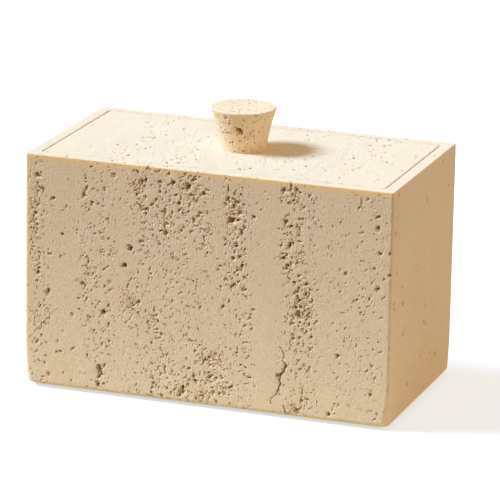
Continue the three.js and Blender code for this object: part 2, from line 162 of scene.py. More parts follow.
class Relief:
    """Depth in millimetres below a flat sheet that starts at (0, 0)."""

    def __init__(self, width, height, seed):
        self.rng = np.random.default_rng(seed)
        self.rows, self.cols = shape = int(height / CELL_MM) + 2, int(width / CELL_MM) + 2
        self.depth, self.rim, self.stain_and_painted_light = (np.zeros(shape) for _ in range(3))
        # Noises that make outlines wander, and one that makes the pits' floors uneven
        self.fine = [value_noise(self.rng, *shape, 3.1) - 0.5 for _ in range(2)]
        self.coarse = [value_noise(self.rng, *shape, 7.3) - 0.5 for _ in range(2)]
        self.floor = value_noise(self.rng, *shape, 2.3)

    def window(self, low_x, high_x, low_y, high_y):
        """Slices and coordinates of the cells in a region, or None if it misses the sheet."""
        left, right = max(int(low_x / CELL_MM), 0), min(int(high_x / CELL_MM) + 2, self.cols)
        bottom, top = max(int(low_y / CELL_MM), 0), min(int(high_y / CELL_MM) + 2, self.rows)
        if left >= right or bottom >= top:
            return None
        place = (slice(bottom, top), slice(left, right))
        x, y = np.meshgrid(np.arange(left, right) * CELL_MM, np.arange(bottom, top) * CELL_MM)
        return place, x, y

    def press(self, place, depth, stain_and_painted_light):
        self.depth[place] = np.maximum(self.depth[place], depth)
        self.stain_and_painted_light[place] = np.maximum(self.stain_and_painted_light[place], stain_and_painted_light)

    def warped(self, place, x, y, fine, coarse):
        """Coordinates wandered off by the noises, for ragged outlines."""
        return (x + fine * self.fine[0][place] + coarse * self.coarse[0][place],
                y + fine * self.fine[1][place] + coarse * self.coarse[1][place])

    def pit(self, x, y, width, height, lean=0.0):
        """A ragged hollow, worn at its lower right. Lean turns its upright axis clockwise, in degrees."""
        size = min(width, height)
        wander, drift = min(0.75 * size, 0.7), min(0.5 * size, 1.0)
        reach = 0.5 * max(width, height) + 0.5 * (wander + drift) + WORN_MM + 0.1
        found = self.window(x - reach, x + reach, y - reach, y + reach)
        if found is None:
            return
        place, grid_x, grid_y = found
        depth = min(0.45 + 0.6 * size, 1.5)
        dx, dy = self.warped(place, grid_x - x, grid_y - y, wander, drift)
        turn = math.radians(lean)
        along = dx * math.sin(turn) + dy * math.cos(turn)
        across = dx * math.cos(turn) - dy * math.sin(turn)
        radius = np.sqrt((2 * across / width) ** 2 + (2 * along / height) ** 2)
        low_right = smooth(-0.3, 0.7, (dx - dy) / (1.42 * np.hypot(dx, dy) + 1e-6))
        left = smooth(0.5, -0.5, dx / (0.5 * width))
        # The share of the radius that the sloping wall takes: more at the left, less in a large pit
        wall = np.minimum((0.2 + 0.5 * left) / size, 0.3 + 0.4 * left)
        lumps = 0.6 * self.floor[place] + 0.4 * (self.coarse[0][place] + 0.5)
        bowl = smooth(1.0, 1.0 - wall, radius) * (1 - min(0.3 + 0.25 * size, 0.75) * lumps)
        # Stains in the floor, weaker towards the left: partly real, partly painted shade
        stain_and_shade_share = (1 - 0.5 * left) * (1 - min(0.3 * size, 0.6) * lumps)
        self.press(place, depth * bowl, smooth(1.0 - 0.4 * wall, 1.0 - wall, radius) * stain_and_shade_share)
        beyond = np.hypot(across, along) * (1 - 1 / np.maximum(radius, 1e-6))
        worn = smooth(WORN_MM * (0.5 + 0.5 * min(size, 1.0)), 0.0, beyond) * low_right
        self.press(place, WORN_DEPTH_MM * (0.6 + 0.4 * min(size, 1.0)) * worn, 0.0)
        # The worn rim is also marked to be painted paler, as a highlight
        self.rim[place] = np.maximum(self.rim[place], worn)

    def groove(self, points, depth):
        """A crack through points of (x, y, width)."""
        for (x0, y0, w0), (x1, y1, w1) in zip(points, points[1:]):
            reach = max(w0, w1) + 0.4
            found = self.window(min(x0, x1) - reach, max(x0, x1) + reach,
                                min(y0, y1) - reach, max(y0, y1) + reach)
            if found is None:
                continue
            grid_x, grid_y = self.warped(*found, 0.5, 0.3)
            place = found[0]
            run_x, run_y = x1 - x0, y1 - y0
            length = run_x * run_x + run_y * run_y
            share = np.clip(((grid_x - x0) * run_x + (grid_y - y0) * run_y) / length, 0, 1)
            away = np.hypot(grid_x - x0 - share * run_x, grid_y - y0 - share * run_y)
            width = w0 + share * (w1 - w0)
            hollow = smooth(0.52, 0.2, away / width)
            self.press(place, depth * hollow * np.minimum(width / 0.6, 1.3), 0.55 * hollow ** 2)

    def scatter(self, low, high, count, sizes, stretch=2.2):
        """Small pits at random places of a region, from low (x, y) to high (x, y)."""
        middle, half = (low[0] + high[0]) / 2, (high[0] - low[0]) / 2
        for _ in range(count):
            x = middle + half * np.clip(self.rng.normal(0, 0.5), -1.6, 1.6)
            y = self.rng.uniform(low[1], high[1])
            size = sizes[0] + (sizes[1] - sizes[0]) * self.rng.random() ** 2.2
            tall = size * self.rng.uniform(0.6, stretch)
            self.pit(x, y, size, tall, self.rng.uniform(-75, 75))

    def crumble(self, x, y, width, height, depth):
        """A worn patch: a shallow net of holes between thin ridges."""
        found = self.window(x - width, x + width, y - height, y + height)
        if found is None:
            return
        place, grid_x, grid_y = found
        inside = smooth(1.0, 0.4, np.hypot((grid_x - x) / width, (grid_y - y) / height)
                        + 0.7 * self.coarse[1][place])
        net = np.abs(self.fine[0][place]) + 0.8 * np.abs(self.coarse[0][place])
        holes = smooth(0.36, 0.5, net + 0.06 * inside)
        self.press(place, 0.8 * depth * inside * holes, 0.2 * inside * holes)

    def settle(self):
        """Marks the worn rims, where nothing is stained, as paler than the rest: a painted highlight."""
        self.stain_and_painted_light -= self.rim * smooth(0.1, 0.0, self.stain_and_painted_light)
        return self

    def sample(self, x, y, field="depth"):
        """Depth, or the stains with painted shade and highlight, at points, straight-line between the
        cells.
        """
        cells = getattr(self, field)
        col = np.clip(x / CELL_MM, 0, self.cols - 1.001)
        row = np.clip(y / CELL_MM, 0, self.rows - 1.001)
        left, bottom = col.astype(int), row.astype(int)
        across, up = col - left, row - bottom
        low = cells[bottom, left] * (1 - across) + cells[bottom, left + 1] * across
        high = cells[bottom + 1, left] * (1 - across) + cells[bottom + 1, left + 1] * across
        return low * (1 - up) + high * up


# Pits of the front face, read off the photograph, in mm from its lower left corner: x, z, width,
# height and, if any, lean in degrees
FRONT_PITS = [
    (4, 71.3, 1.6, 2, 20), (5, 70.8, 1, 1), (5.4, 72.1, 0.5, 0.7), (3.7, 75.1, 0.7, 0.8), (6, 66.4, 1, 2.2),
    (4.2, 65.6, 1.3, 1.2), (4.1, 68.8, 0.7, 0.5), (9.3, 63.8, 0.9, 2.5, 55), (14.1, 61.6, 0.7, 1.1, 60),
    (12.9, 60.3, 0.5, 0.5), (9.5, 61.3, 0.8, 0.3), (15.6, 61.6, 0.7, 0.4), (2.9, 57.4, 0.8, 1.1),
    (3.8, 58.1, 0.8, 0.5), (5.6, 57.9, 0.5, 0.9), (2.5, 60, 0.9, 0.6), (2.7, 53, 1, 0.8),
    (6.2, 54, 0.4, 0.9), (4.1, 53, 0.3, 1.4), (12.7, 52.3, 0.9, 0.8), (13.9, 54.4, 0.4, 0.4),
    (9.5, 53.1, 0.4, 0.4), (14.9, 70.6, 0.4, 0.7, 40), (20.8, 72.8, 0.4, 0.6), (20.9, 71.8, 0.5, 0.6),
    (21, 70.6, 0.9, 0.4), (21, 68.4, 0.9, 2.8, 28), (20.3, 66.4, 1.4, 2.6, 10), (23, 63.6, 1.2, 2.1, 20),
    (22, 61.2, 0.5, 1.2, 55), (25.1, 63.7, 0.6, 2.1, 50), (23.4, 68.4, 0.3, 1.4, 45), (27.5, 69.3, 1, 1),
    (27.6, 68.4, 0.8, 0.9), (30.7, 73.9, 1.3, 1.3), (22.8, 75.8, 0.6, 0.9, 20), (28.8, 76.3, 0.5, 0.6),
    (29.1, 75.2, 0.9, 0.3), (26.6, 74.1, 0.25, 1.4, 60), (24.7, 70.7, 0.4, 0.5), (26.9, 65.5, 0.6, 0.7),
    (28.5, 58.9, 1, 1.2, 50), (22.6, 56.8, 0.35, 1.7, 55), (27.5, 55.6, 0.3, 1, 40), (26.9, 52.6, 0.4, 1),
    (29, 52.4, 0.5, 1.1, 45), (32.9, 66.1, 0.4, 0.9, 30), (37.3, 75.9, 0.4, 1.1), (41.5, 73.3, 1, 1.7, 55),
    (40.1, 72.7, 1, 1.5), (39, 65.2, 0.4, 1.1), (41.2, 63.6, 1.1, 3.2, 66), (41.8, 62.3, 1.2, 0.7),
    (40.7, 59.2, 1.4, 0.6), (36.2, 50.1, 1.6, 1.9, 20), (40.1, 52.8, 1.8, 1), (40.8, 51.5, 1.7, 0.3),
    (34.3, 44.1, 1.9, 1.6), (36.9, 40, 0.8, 0.9), (39.6, 45.4, 0.7, 0.7), (40.9, 45.2, 0.6, 0.6),
    (42.2, 47.6, 0.6, 0.4), (26.9, 48.6, 1.1, 0.4), (26.9, 47.4, 0.4, 1.7, 30), (26.2, 47.7, 0.9, 0.4, 30),
    (29.2, 47, 0.5, 1.1, 20), (31.5, 47.8, 0.25, 1, 60), (28.1, 42.6, 0.5, 1.1, 60), (29, 43.1, 0.8, 0.4),
    (19.8, 45.6, 0.45, 1.5, 55), (20.8, 46.8, 0.3, 0.8, 30), (21.9, 43.7, 0.6, 2.4, 18),
    (20.8, 42.5, 1.5, 0.4), (22, 40, 0.8, 1.2, 10), (20.7, 39.8, 0.8, 0.5), (23.6, 40, 0.8, 1.4, 10),
    (12.3, 44.7, 0.5, 1.5), (13.6, 45.5, 0.4, 0.4), (8.4, 45.2, 1.2, 1), (8, 46.5, 0.5, 0.4),
    (5, 45.2, 0.8, 1.5, -50), (4.9, 43.7, 0.4, 0.8, 30), (3, 42.3, 0.6, 0.6), (4, 42.4, 0.5, 0.5),
    (4.2, 40.7, 0.7, 0.4), (2.8, 46.8, 0.7, 0.5), (4.6, 46.5, 0.6, 0.4), (1.7, 44.4, 0.5, 1.3),
    (46.2, 73.5, 1, 1.2, 30), (46.6, 71.7, 0.4, 1.5, 15), (46.5, 70.2, 0.6, 1.1), (48.3, 69.7, 0.8, 0.3),
    (50.8, 73.4, 1.8, 1.5, -30), (53.1, 72.2, 0.4, 1.3), (53.7, 74.4, 0.5, 1.4, 40), (54.1, 75.8, 1.4, 0.4),
    (56.1, 76.1, 0.8, 0.8), (55.8, 72.8, 1.7, 2.3, 25), (58.6, 75.3, 0.5, 1.4, 35), (59.9, 76.3, 0.9, 0.5),
    (61.3, 70.9, 2, 1.2, -15), (62, 72.4, 0.5, 0.9, -40), (59.6, 73.6, 0.4, 0.9), (56.9, 70, 1.4, 1.3),
    (58.6, 70.3, 0.9, 0.4), (51.9, 69.5, 0.7, 1.6, 60), (49.9, 67.5, 0.7, 1.3), (50, 66, 0.9, 0.35),
    (53.2, 66.7, 0.8, 1.4, 25), (56.6, 66.7, 0.5, 2.2, 10), (58.5, 68.4, 0.9, 0.5), (45.1, 67, 0.9, 2, 30),
    (44, 65.7, 0.8, 0.8), (53.2, 65, 1.1, 0.3), (48.4, 63.8, 1, 2.5, 5), (50.7, 63.7, 0.8, 2.1),
    (50.3, 61.7, 0.4, 1), (54.3, 63.7, 0.7, 1.6), (55.1, 63, 1.1, 0.3), (52.8, 62.1, 1, 0.5),
    (58.1, 62, 1.1, 2, -20), (59.3, 63.2, 0.3, 1), (60.2, 64.5, 1.2, 1.5, -20), (62.8, 64.6, 0.9, 0.3),
    (60.6, 60.7, 0.9, 0.4), (51.6, 59.8, 0.4, 1.2), (53.3, 59.1, 0.4, 0.6), (48.6, 56.7, 1.7, 2, -10),
    (46.8, 57.1, 1.4, 0.5), (48.3, 58.5, 0.9, 0.8), (51.7, 57.1, 0.6, 0.9), (57.2, 58, 0.9, 0.6),
    (46.5, 52.5, 0.9, 0.8), (46.3, 53.6, 0.6, 0.4), (52.5, 55.2, 0.8, 0.3), (61.7, 56.6, 0.6, 1),
    (62, 55.5, 0.5, 1.2), (62.8, 51.3, 0.6, 1.6, 35), (60.1, 54.1, 0.4, 0.4), (55.3, 50, 0.5, 1.8, 65),
    (56.2, 48.8, 0.9, 0.4), (51.3, 48.7, 0.4, 0.9, 15), (53, 48.2, 0.6, 1.2, -40), (55, 46.7, 0.5, 1, 55),
    (47.9, 46.6, 0.5, 0.5), (47.7, 45.3, 0.4, 0.9, 40), (43.3, 44.1, 0.6, 1.5, -15),
    (43.6, 42.5, 1.2, 0.5, 30), (43, 40.9, 0.4, 1.8), (52.2, 43.4, 0.8, 0.6), (53.6, 43.4, 0.7, 0.5),
    (50.9, 44.3, 0.7, 0.3), (58.2, 41.6, 1.1, 0.6, 20), (56.5, 41.9, 0.5, 0.4), (52.9, 40.6, 0.7, 0.5),
    (66.5, 49.9, 1.1, 0.4), (66.7, 46.4, 0.9, 0.7), (68.8, 56.9, 1, 1, 20), (70.3, 45.7, 0.9, 0.35),
    (69.2, 43.6, 0.8, 1.1, 20), (69.2, 52, 0.9, 0.5, -20), (69.7, 73.6, 0.7, 2.7),
    (69.4, 70.2, 1.4, 1.7, 40), (68.9, 68.4, 1, 1.4, -20), (72.7, 69.4, 2, 1.2, -10),
    (71.4, 70.3, 0.8, 0.8), (70.2, 69, 0.6, 0.7), (70.8, 67.2, 0.8, 0.5), (73.6, 66, 1.3, 1.6, 35),
    (71.5, 65.2, 1.4, 0.8), (70.7, 63.1, 3.2, 2.2, -12), (72.4, 60.8, 0.7, 1.3), (69.4, 60.4, 0.8, 0.4),
    (75.2, 61.4, 0.9, 1.2), (75.6, 63.5, 0.6, 1.1), (73.8, 63.4, 0.4, 0.4), (74.3, 59.5, 1.2, 2.4, -8),
    (72.5, 54.9, 0.9, 2, 65), (75.5, 53.8, 0.5, 1.5, 30), (74, 51.6, 1.6, 1.2), (71.8, 51.1, 1.2, 0.35),
    (75, 50.1, 1.2, 0.35, -20), (74.5, 48.2, 1.2, 2.6, 30), (73.4, 45.5, 0.7, 1.1),
    (75.5, 44.9, 0.7, 1.2, -40), (76.7, 45.7, 0.4, 0.7), (71.1, 41.1, 1.1, 1.3, 20),
    (75.7, 40.7, 1.4, 0.9, -15), (67.7, 41, 0.9, 0.7), (67.7, 39.5, 0.5, 0.4), (79.9, 56.8, 0.4, 0.6),
    (80.4, 56.1, 0.6, 0.4), (82.2, 73.9, 0.4, 0.8), (83, 71.5, 0.5, 0.5), (79.5, 69.9, 0.5, 0.8),
    (80.9, 67.7, 0.5, 0.5), (88.3, 74.9, 1.9, 1.4), (92.6, 75.6, 0.9, 2.2), (90.7, 76.4, 0.5, 1),
    (92.1, 73.2, 0.4, 1.3), (87.6, 71.4, 0.5, 1.3), (89.8, 71.1, 0.8, 0.6), (94.8, 66.4, 0.5, 0.9, -30),
    (94.6, 64.6, 0.7, 0.6), (89.1, 64.6, 1.1, 2.1, 15), (91, 63.4, 1.5, 1.2), (86.9, 62.2, 1.4, 0.4),
    (90.8, 61.2, 0.5, 1.1, 45), (88.8, 60.6, 1.2, 0.5), (90.7, 57, 1.4, 2.5, 15), (91.5, 59, 0.4, 1.3),
    (88.6, 58.9, 0.5, 0.6), (87.6, 56.7, 1.2, 0.9), (89.6, 54, 0.9, 1.7, 10), (88.4, 52.6, 0.9, 2.6, 60),
    (90.1, 50.5, 0.9, 1.3), (91.2, 48.8, 0.7, 0.4), (85.8, 52.3, 0.5, 0.4), (92.8, 53.3, 0.3, 1.1, 60),
    (90.6, 46.5, 0.6, 1.7, -25), (92.5, 45.3, 1.5, 0.9, 15), (95.7, 46.9, 0.5, 0.5), (96.3, 45, 1.7, 0.9),
    (97.7, 43.5, 0.5, 1.8, -15), (97.5, 41.9, 1, 1.3), (96.2, 41.5, 1.6, 0.6, 10), (97, 40.6, 0.8, 0.7),
    (94.8, 44.4, 1.2, 0.4, 20), (93.9, 43.3, 0.5, 1), (92.5, 41.5, 0.8, 1.1), (94.3, 39.5, 1.5, 1),
    (114.2, 74.1, 0.6, 3.4), (113.5, 71.8, 0.6, 1.3, 40), (114.5, 65.9, 0.4, 0.7), (114.8, 64, 1.1, 0.8),
    (114.9, 61.1, 0.7, 0.5, 30), (120.1, 69.8, 1.2, 0.8, -20), (119.8, 66.1, 1.2, 1.9, 15),
    (119.7, 62.2, 0.5, 0.5), (120.8, 57.8, 0.9, 1.3, -45), (117.4, 54.3, 0.6, 0.3),
    (116.5, 52, 0.5, 0.8, 40), (109.5, 50, 0.9, 1, 30), (118.3, 48, 0.6, 0.6), (119.2, 49, 0.4, 0.9),
    (120.2, 45.9, 2, 1.1, 5), (103.9, 58.2, 0.4, 1.5), (103.6, 55.8, 0.3, 1.1), (104.7, 60.1, 0.7, 0.3, 20),
    (106, 44.7, 0.5, 0.4), (112.4, 41.1, 0.4, 1.9, 30), (118, 43.7, 0.5, 0.5), (115.6, 42.9, 0.5, 0.6),
    (124.1, 58.3, 0.9, 1.2), (124.1, 51.1, 1, 1.3), (120, 76.8, 0.9, 0.4), (4.1, 38.4, 1.4, 1.2),
    (4.1, 35.7, 0.8, 0.8), (7.8, 32.1, 1.3, 2.6, 20), (5.1, 27.1, 0.9, 0.8), (6.9, 27.4, 0.6, 1, 30),
    (8.8, 27.5, 0.5, 0.4), (3.3, 24.3, 0.9, 0.3), (8.5, 23.2, 0.5, 0.6), (7.3, 21.2, 0.6, 0.8),
    (5.7, 19.9, 0.4, 0.8), (5.7, 17.1, 0.8, 0.9), (7.4, 14.7, 0.9, 0.5), (11.5, 15.8, 0.5, 1.2),
    (12.2, 12.4, 1.9, 0.6, 10), (10.9, 11.9, 0.7, 0.8), (16.6, 13.6, 0.55, 2.5, 50), (6.8, 8, 0.8, 1.2),
    (8, 4.2, 0.9, 1), (6.1, 2.9, 0.9, 0.4), (7.6, 1.5, 0.4, 0.8, 40), (16.4, 25.6, 1, 1.5),
    (18.6, 31.3, 0.7, 1.4, -60), (21.4, 31.4, 0.7, 0.5), (18.9, 27.5, 1.1, 0.5, 20), (19.9, 36.2, 1.8, 1.4),
    (21, 35.9, 0.9, 0.5, -20), (20.6, 34.6, 0.5, 0.7), (17.8, 37.2, 0.6, 0.7), (24.7, 37, 0.8, 0.5),
    (24.3, 35.8, 0.5, 0.3), (23.1, 34.3, 0.6, 0.5), (27.7, 36.4, 0.6, 1), (29.2, 37.4, 0.6, 0.8, 30),
    (29.6, 35.2, 0.7, 1.8, 55), (28.1, 34.1, 0.7, 0.9, 30), (25.3, 29.8, 0.6, 0.9, 30),
    (25.9, 30.8, 0.5, 1.1, 60), (29, 30, 0.7, 0.9), (27.2, 27.5, 2.1, 1.9), (28.8, 27.8, 1, 0.4, 10),
    (24.6, 28.8, 0.5, 0.7), (29, 23.7, 0.9, 1.7, -20), (22.6, 25.5, 0.5, 1.2, -50),
    (22.4, 24.7, 0.5, 1.3, 35), (21.1, 22.2, 0.6, 0.6), (24.1, 20.8, 0.7, 1.6, 30), (25.9, 23.8, 0.4, 1),
    (27.5, 20.8, 0.4, 1.2, 20), (26.6, 18.6, 0.4, 1.2), (29.4, 18.1, 0.5, 1.5, -20),
    (27.1, 16.6, 0.9, 1.7, 15), (25.5, 14.9, 0.6, 0.4), (26.8, 13.4, 1.8, 0.3, 5),
    (25.2, 12.1, 0.4, 1.3, 45), (29.2, 13.5, 0.7, 0.3), (21.7, 12.3, 0.7, 1.2, -10),
    (28.2, 10, 0.7, 0.4, 10), (25.8, 8.7, 1.9, 2.5), (26.5, 6.9, 1.8, 2.4, -10), (25.9, 5.2, 1.1, 1.4, 20),
    (25.6, 2.7, 0.9, 2.5), (13.2, 19.5, 0.5, 0.5), (13.4, 5.2, 0.5, 0.8), (21.5, 6, 0.4, 0.4),
    (16.2, 2.8, 0.4, 0.8), (38.8, 4.1, 0.6, 1.7, 55), (34.1, 5.4, 0.6, 0.3), (29.1, 5.1, 0.4, 0.6),
    (39.4, 32.2, 1.3, 1.6, -30), (37.3, 31.3, 1.7, 0.9), (36.3, 30.1, 0.5, 1), (36.8, 33, 0.4, 0.8),
    (34.4, 31.8, 0.4, 0.5), (34.7, 28.9, 0.6, 1.1, 45), (37.2, 27.6, 0.4, 1.1), (30.5, 26.6, 0.8, 0.4),
    (31.2, 26.1, 0.4, 0.6), (34.6, 34.3, 0.7, 0.4), (39, 37.2, 0.5, 0.8, 30), (35.7, 37.5, 0.4, 1.1),
    (43, 26.1, 0.6, 1.2), (43.3, 23.8, 0.6, 1.4, 20), (44.5, 28.4, 2.4, 0.3, 8), (46, 22.7, 0.8, 0.5),
    (47.4, 22.5, 0.7, 0.5), (45.8, 20.5, 1, 0.5), (51.2, 34, 0.6, 1.3, 40), (51, 31.5, 0.4, 0.7, 30),
    (48.9, 32.2, 0.7, 0.4), (54.5, 37.3, 0.6, 0.6), (53.5, 36.8, 0.5, 0.9, 20), (54.8, 35.5, 0.6, 0.5),
    (58.5, 37.2, 0.7, 0.5), (60.5, 33.3, 1.1, 0.4), (60.7, 32.6, 0.4, 1.2), (58.8, 32.8, 0.8, 0.4, 15),
    (52.6, 27, 0.6, 0.4), (53.8, 27.1, 0.6, 0.3), (64.7, 27.7, 0.7, 0.4), (69.4, 28.1, 0.9, 0.5, 20),
    (57.8, 21.5, 1.7, 1, -15), (60.8, 20.3, 0.5, 1.8, -65), (55.3, 22.6, 0.5, 0.5),
    (60.2, 17, 0.4, 1.9, 40), (62.7, 15.5, 1.5, 0.9, 10), (63.8, 16.4, 0.9, 1.7, 45), (61, 16.2, 0.8, 0.5),
    (61, 15.2, 0.9, 0.3), (66.1, 18.1, 1.6, 0.8, 5), (67.7, 17.5, 0.4, 0.8), (65.5, 16.4, 0.7, 0.4),
    (64.3, 14, 1.5, 0.9, -15), (62.1, 14.1, 0.8, 0.5), (65.7, 13.8, 0.6, 0.6), (66.2, 12.7, 0.8, 0.5, -15),
    (65.2, 10.7, 0.7, 1), (64.5, 9.8, 1.4, 1.1), (66.6, 9.8, 0.9, 1.2, 20), (69.4, 13.2, 0.3, 1.5, 60),
    (49.9, 16, 0.4, 1.2, 25), (51.6, 13.9, 1.1, 0.5), (48.8, 11.5, 0.8, 1.7, 10), (49, 9.5, 0.9, 0.7),
    (50.8, 9.4, 0.9, 0.6), (52.3, 9.2, 0.5, 1.3, 65), (47.2, 11.5, 0.4, 0.6), (56.9, 12, 0.7, 0.5),
    (56.3, 9.3, 0.4, 1.3, 15), (57.5, 8.3, 0.8, 0.6), (59.1, 8.2, 1.6, 0.8, 10), (56.8, 6.4, 0.7, 1.6, 25),
    (53.2, 5.9, 0.5, 1, 60), (55, 4.6, 1.5, 3.2, 8), (53.8, 2.5, 1.6, 0.9), (44.3, 7.2, 1.7, 0.7, 10),
    (44.9, 5.6, 1, 0.9), (47, 6.2, 0.4, 0.7, 20), (44.6, 3.8, 0.8, 0.5), (47.8, 1.6, 1.2, 1.1),
    (49.8, 7.8, 0.9, 0.3, 15), (61.5, 8.1, 0.5, 0.7), (63, 7.7, 0.5, 1), (61.3, 6.7, 0.9, 0.3, 15),
    (61.3, 3.3, 1.2, 0.8), (62.1, 2.5, 1.6, 0.25), (61.7, 1.4, 0.9, 0.7), (67.7, 4.7, 0.6, 0.9, 20),
    (68, 3.8, 0.7, 0.4), (67.7, 8.3, 0.5, 0.9), (71.2, 7.2, 0.8, 3.6, 62), (69.4, 5.3, 1, 0.9),
    (74.1, 8.5, 0.7, 0.4), (70.7, 36.4, 0.5, 1.4), (68.4, 34.1, 1.1, 1.1), (70.7, 32.9, 0.6, 0.4),
    (73.3, 31.6, 0.3, 1.9), (76, 28.5, 0.4, 1.2, 45), (76.3, 38.6, 1.4, 0.5), (78.7, 34.5, 1.7, 0.8, 12),
    (78, 32.8, 0.6, 0.8, 20), (76.6, 32.9, 0.6, 0.4), (78.1, 27.8, 0.9, 0.6, -20), (73.2, 25.6, 0.8, 0.6),
    (75.7, 23, 0.7, 0.7), (76.6, 23.2, 1.8, 0.4), (73.3, 19.4, 1.3, 0.8, 15), (76.3, 19.7, 0.7, 0.6),
    (77.5, 18.8, 0.5, 0.4), (76.7, 14.7, 0.7, 0.8), (77.7, 11.5, 1.9, 0.7, 12), (76.1, 12.6, 1.2, 0.25),
    (79.7, 15.8, 0.5, 0.4), (93.9, 34.8, 1.8, 2), (96.3, 37.9, 0.6, 0.6), (96.4, 36.1, 0.9, 0.9),
    (97.4, 36.8, 0.5, 1.2), (97.6, 35.2, 0.6, 1.3, 50), (98.4, 33.9, 0.7, 0.5), (92.6, 33, 0.4, 1.2),
    (94.6, 32.1, 1.3, 0.4, -10), (91.6, 31.1, 0.8, 1.3), (95.4, 29.9, 1.3, 1), (97, 29.1, 0.8, 0.6),
    (97.8, 31.8, 0.6, 1.9, 5), (98.4, 30.2, 0.6, 0.9, -20), (98.2, 27.6, 1.2, 0.9, 15),
    (92.3, 27.7, 1.1, 0.7, 15), (89.8, 28.1, 0.4, 0.9, -30), (91.7, 25.2, 0.4, 1),
    (93.5, 22.7, 0.3, 1.8, 30), (96.8, 22.2, 0.7, 0.6), (98.3, 23.4, 0.6, 0.8), (94.4, 19.5, 1.7, 0.8),
    (94.4, 18.9, 0.6, 1), (96.2, 18.1, 0.5, 1.7, 55), (95, 16.6, 1, 0.8), (98.1, 16.9, 0.6, 0.5),
    (97.7, 14.2, 0.8, 0.8), (96, 9.4, 0.6, 1.2, -20), (96, 8.4, 0.9, 0.5), (96, 5.7, 1.3, 1),
    (97.7, 6.6, 0.7, 0.8), (94.1, 2.5, 1.7, 1.6), (95.4, 3.3, 0.5, 1.8, 50), (93.3, 3.1, 0.9, 0.5),
    (91.9, 1.1, 0.8, 0.8), (91.3, 4.6, 0.6, 0.3, 20), (86.2, 1.1, 0.4, 0.5), (108.8, 36.9, 1.8, 0.35),
    (110.8, 37.9, 0.6, 0.4, 20), (115, 37.7, 0.9, 0.6, 15), (116, 37.2, 0.6, 0.8),
    (107.2, 30.6, 0.4, 1.3, 55), (109.7, 27.5, 0.7, 0.8), (109.8, 28.7, 0.5, 0.4), (109.6, 25.9, 0.4, 0.7),
    (109.9, 31.9, 0.5, 0.9, 20), (107.5, 22.4, 1.3, 1.9, 10), (108.4, 20, 0.3, 1.2),
    (110.7, 20, 0.7, 0.3, 10), (106.6, 16.6, 0.5, 0.5), (107.6, 15, 1.1, 0.5, -20),
    (117.4, 18.6, 0.7, 1.2, 50), (118.3, 18.2, 0.6, 0.3), (120.2, 16.4, 0.6, 1), (118.8, 10.9, 1, 1.3, 10),
    (119, 12.3, 0.6, 0.5), (121.7, 25.3, 0.7, 1.6, 65), (119.4, 26, 0.6, 0.5), (121.7, 36.9, 1, 0.9),
    (117.5, 29.6, 0.6, 0.4), (115.9, 5.5, 0.4, 0.6), (119.2, 5.5, 0.4, 0.5), (106.8, 5.5, 0.4, 0.8),
    (106.2, 4.1, 0.4, 0.9, 35), (105, 2.6, 1, 1.3, -20),
]

# The wandering crack, as runs of (x, z, width)
FRONT_CRACKS = [
    [(87.9, 23.0, 0.3), (88.9, 22.5, 0.5), (89.4, 20.9, 0.45), (89.6, 19.1, 0.35)],
    [(88.8, 18.7, 0.3), (89.9, 17.6, 0.7), (90.3, 16.9, 1.2), (89.8, 15.3, 0.7), (88.8, 13.9, 0.9),
     (88.2, 12.3, 0.9), (88.5, 10.6, 0.7), (88.0, 8.8, 0.7), (87.5, 7.5, 0.6), (86.3, 6.2, 0.35),
     (85.4, 5.3, 0.3), (85.4, 4.2, 0.4), (85.9, 3.7, 0.3)],
    [(88.6, 13.7, 0.9), (87.6, 13.4, 1.1), (86.9, 13.0, 0.5)],
    [(89.7, 3.3, 0.4), (90.2, 2.1, 0.6), (90.6, 0.7, 0.5)],
]

# A scratch from the left edge
FRONT_SCRATCH = [
    (1.5, 15.6, 0.45), (3.2, 17.9, 0.5), (6.1, 20.9, 0.45), (9.2, 24.8, 0.5), (12.2, 27.6, 0.3),
]

# Bands of small pits on the front: low x, high x, low z, high z, how many, largest
FRONT_BANDS = [
    (1.3, 6.6, 38, 67.6, 35, 0.85), (1.8, 6.2, 0.6, 30.1, 17, 0.75), (35.8, 42.7, 62.7, 76.6, 38, 0.75),
    (43.7, 51.6, 57.8, 77.1, 24, 0.85), (51.6, 61.5, 57.8, 77.1, 32, 0.85),
    (57.6, 64.5, 51.8, 76.7, 21, 0.65), (23.5, 31.4, 2.5, 59.7, 28, 0.75),
    (17.4, 23.3, 30.1, 74.6, 14, 0.65), (33.3, 40.2, 22.2, 40, 24, 0.65), (42.3, 49.2, 1.4, 31, 28, 0.75),
    (48.3, 64.1, 0.9, 13.2, 31, 0.85), (59.1, 69.9, 1.4, 21.1, 38, 0.85), (68, 76.4, 39.9, 76.7, 59, 0.95),
    (72.8, 79.7, 0.8, 39.9, 22, 0.65), (86.2, 96.2, 43.9, 77.2, 52, 0.85), (90.4, 99.8, 24, 45.9, 52, 0.95),
    (92.6, 99.5, 1.3, 25, 22, 0.75), (101.3, 111.2, 1.2, 76.7, 21, 0.55),
    (112.2, 119.2, 1.2, 76.8, 25, 0.65), (117.2, 123.6, 1.2, 76.8, 18, 0.65),
]

# Worn patches on the front: x, z, half width, half height, depth
FRONT_WORN = [
    (39.7, 72.1, 3.5, 4, 0.5), (3.4, 62.2, 2.6, 5, 0.4), (3.3, 53.8, 2.4, 4, 0.4), (92.9, 72, 1.8, 3, 0.5),
    (56.5, 70.2, 4.5, 4, 0.4), (72.1, 67.2, 4, 5, 0.5), (75.2, 53.3, 2.2, 3, 0.5),
    (94.2, 53.3, 2.5, 4, 0.35), (93.5, 62.3, 1.8, 4, 0.35), (97.2, 35.9, 2.8, 5.5, 0.5),
    (66.4, 16.7, 4, 4.5, 0.4), (65.5, 10.3, 3.5, 3, 0.45), (44.2, 27.1, 2.6, 4, 0.4), (36.3, 32, 4, 5, 0.3),
    (46.7, 21.7, 2.6, 3, 0.3), (62.1, 3.4, 4, 3.5, 0.35), (93.7, 2.8, 3.5, 3, 0.4),
    (69.5, 6.8, 3.5, 3.5, 0.35), (22.4, 40.5, 2.8, 2.5, 0.3),
]

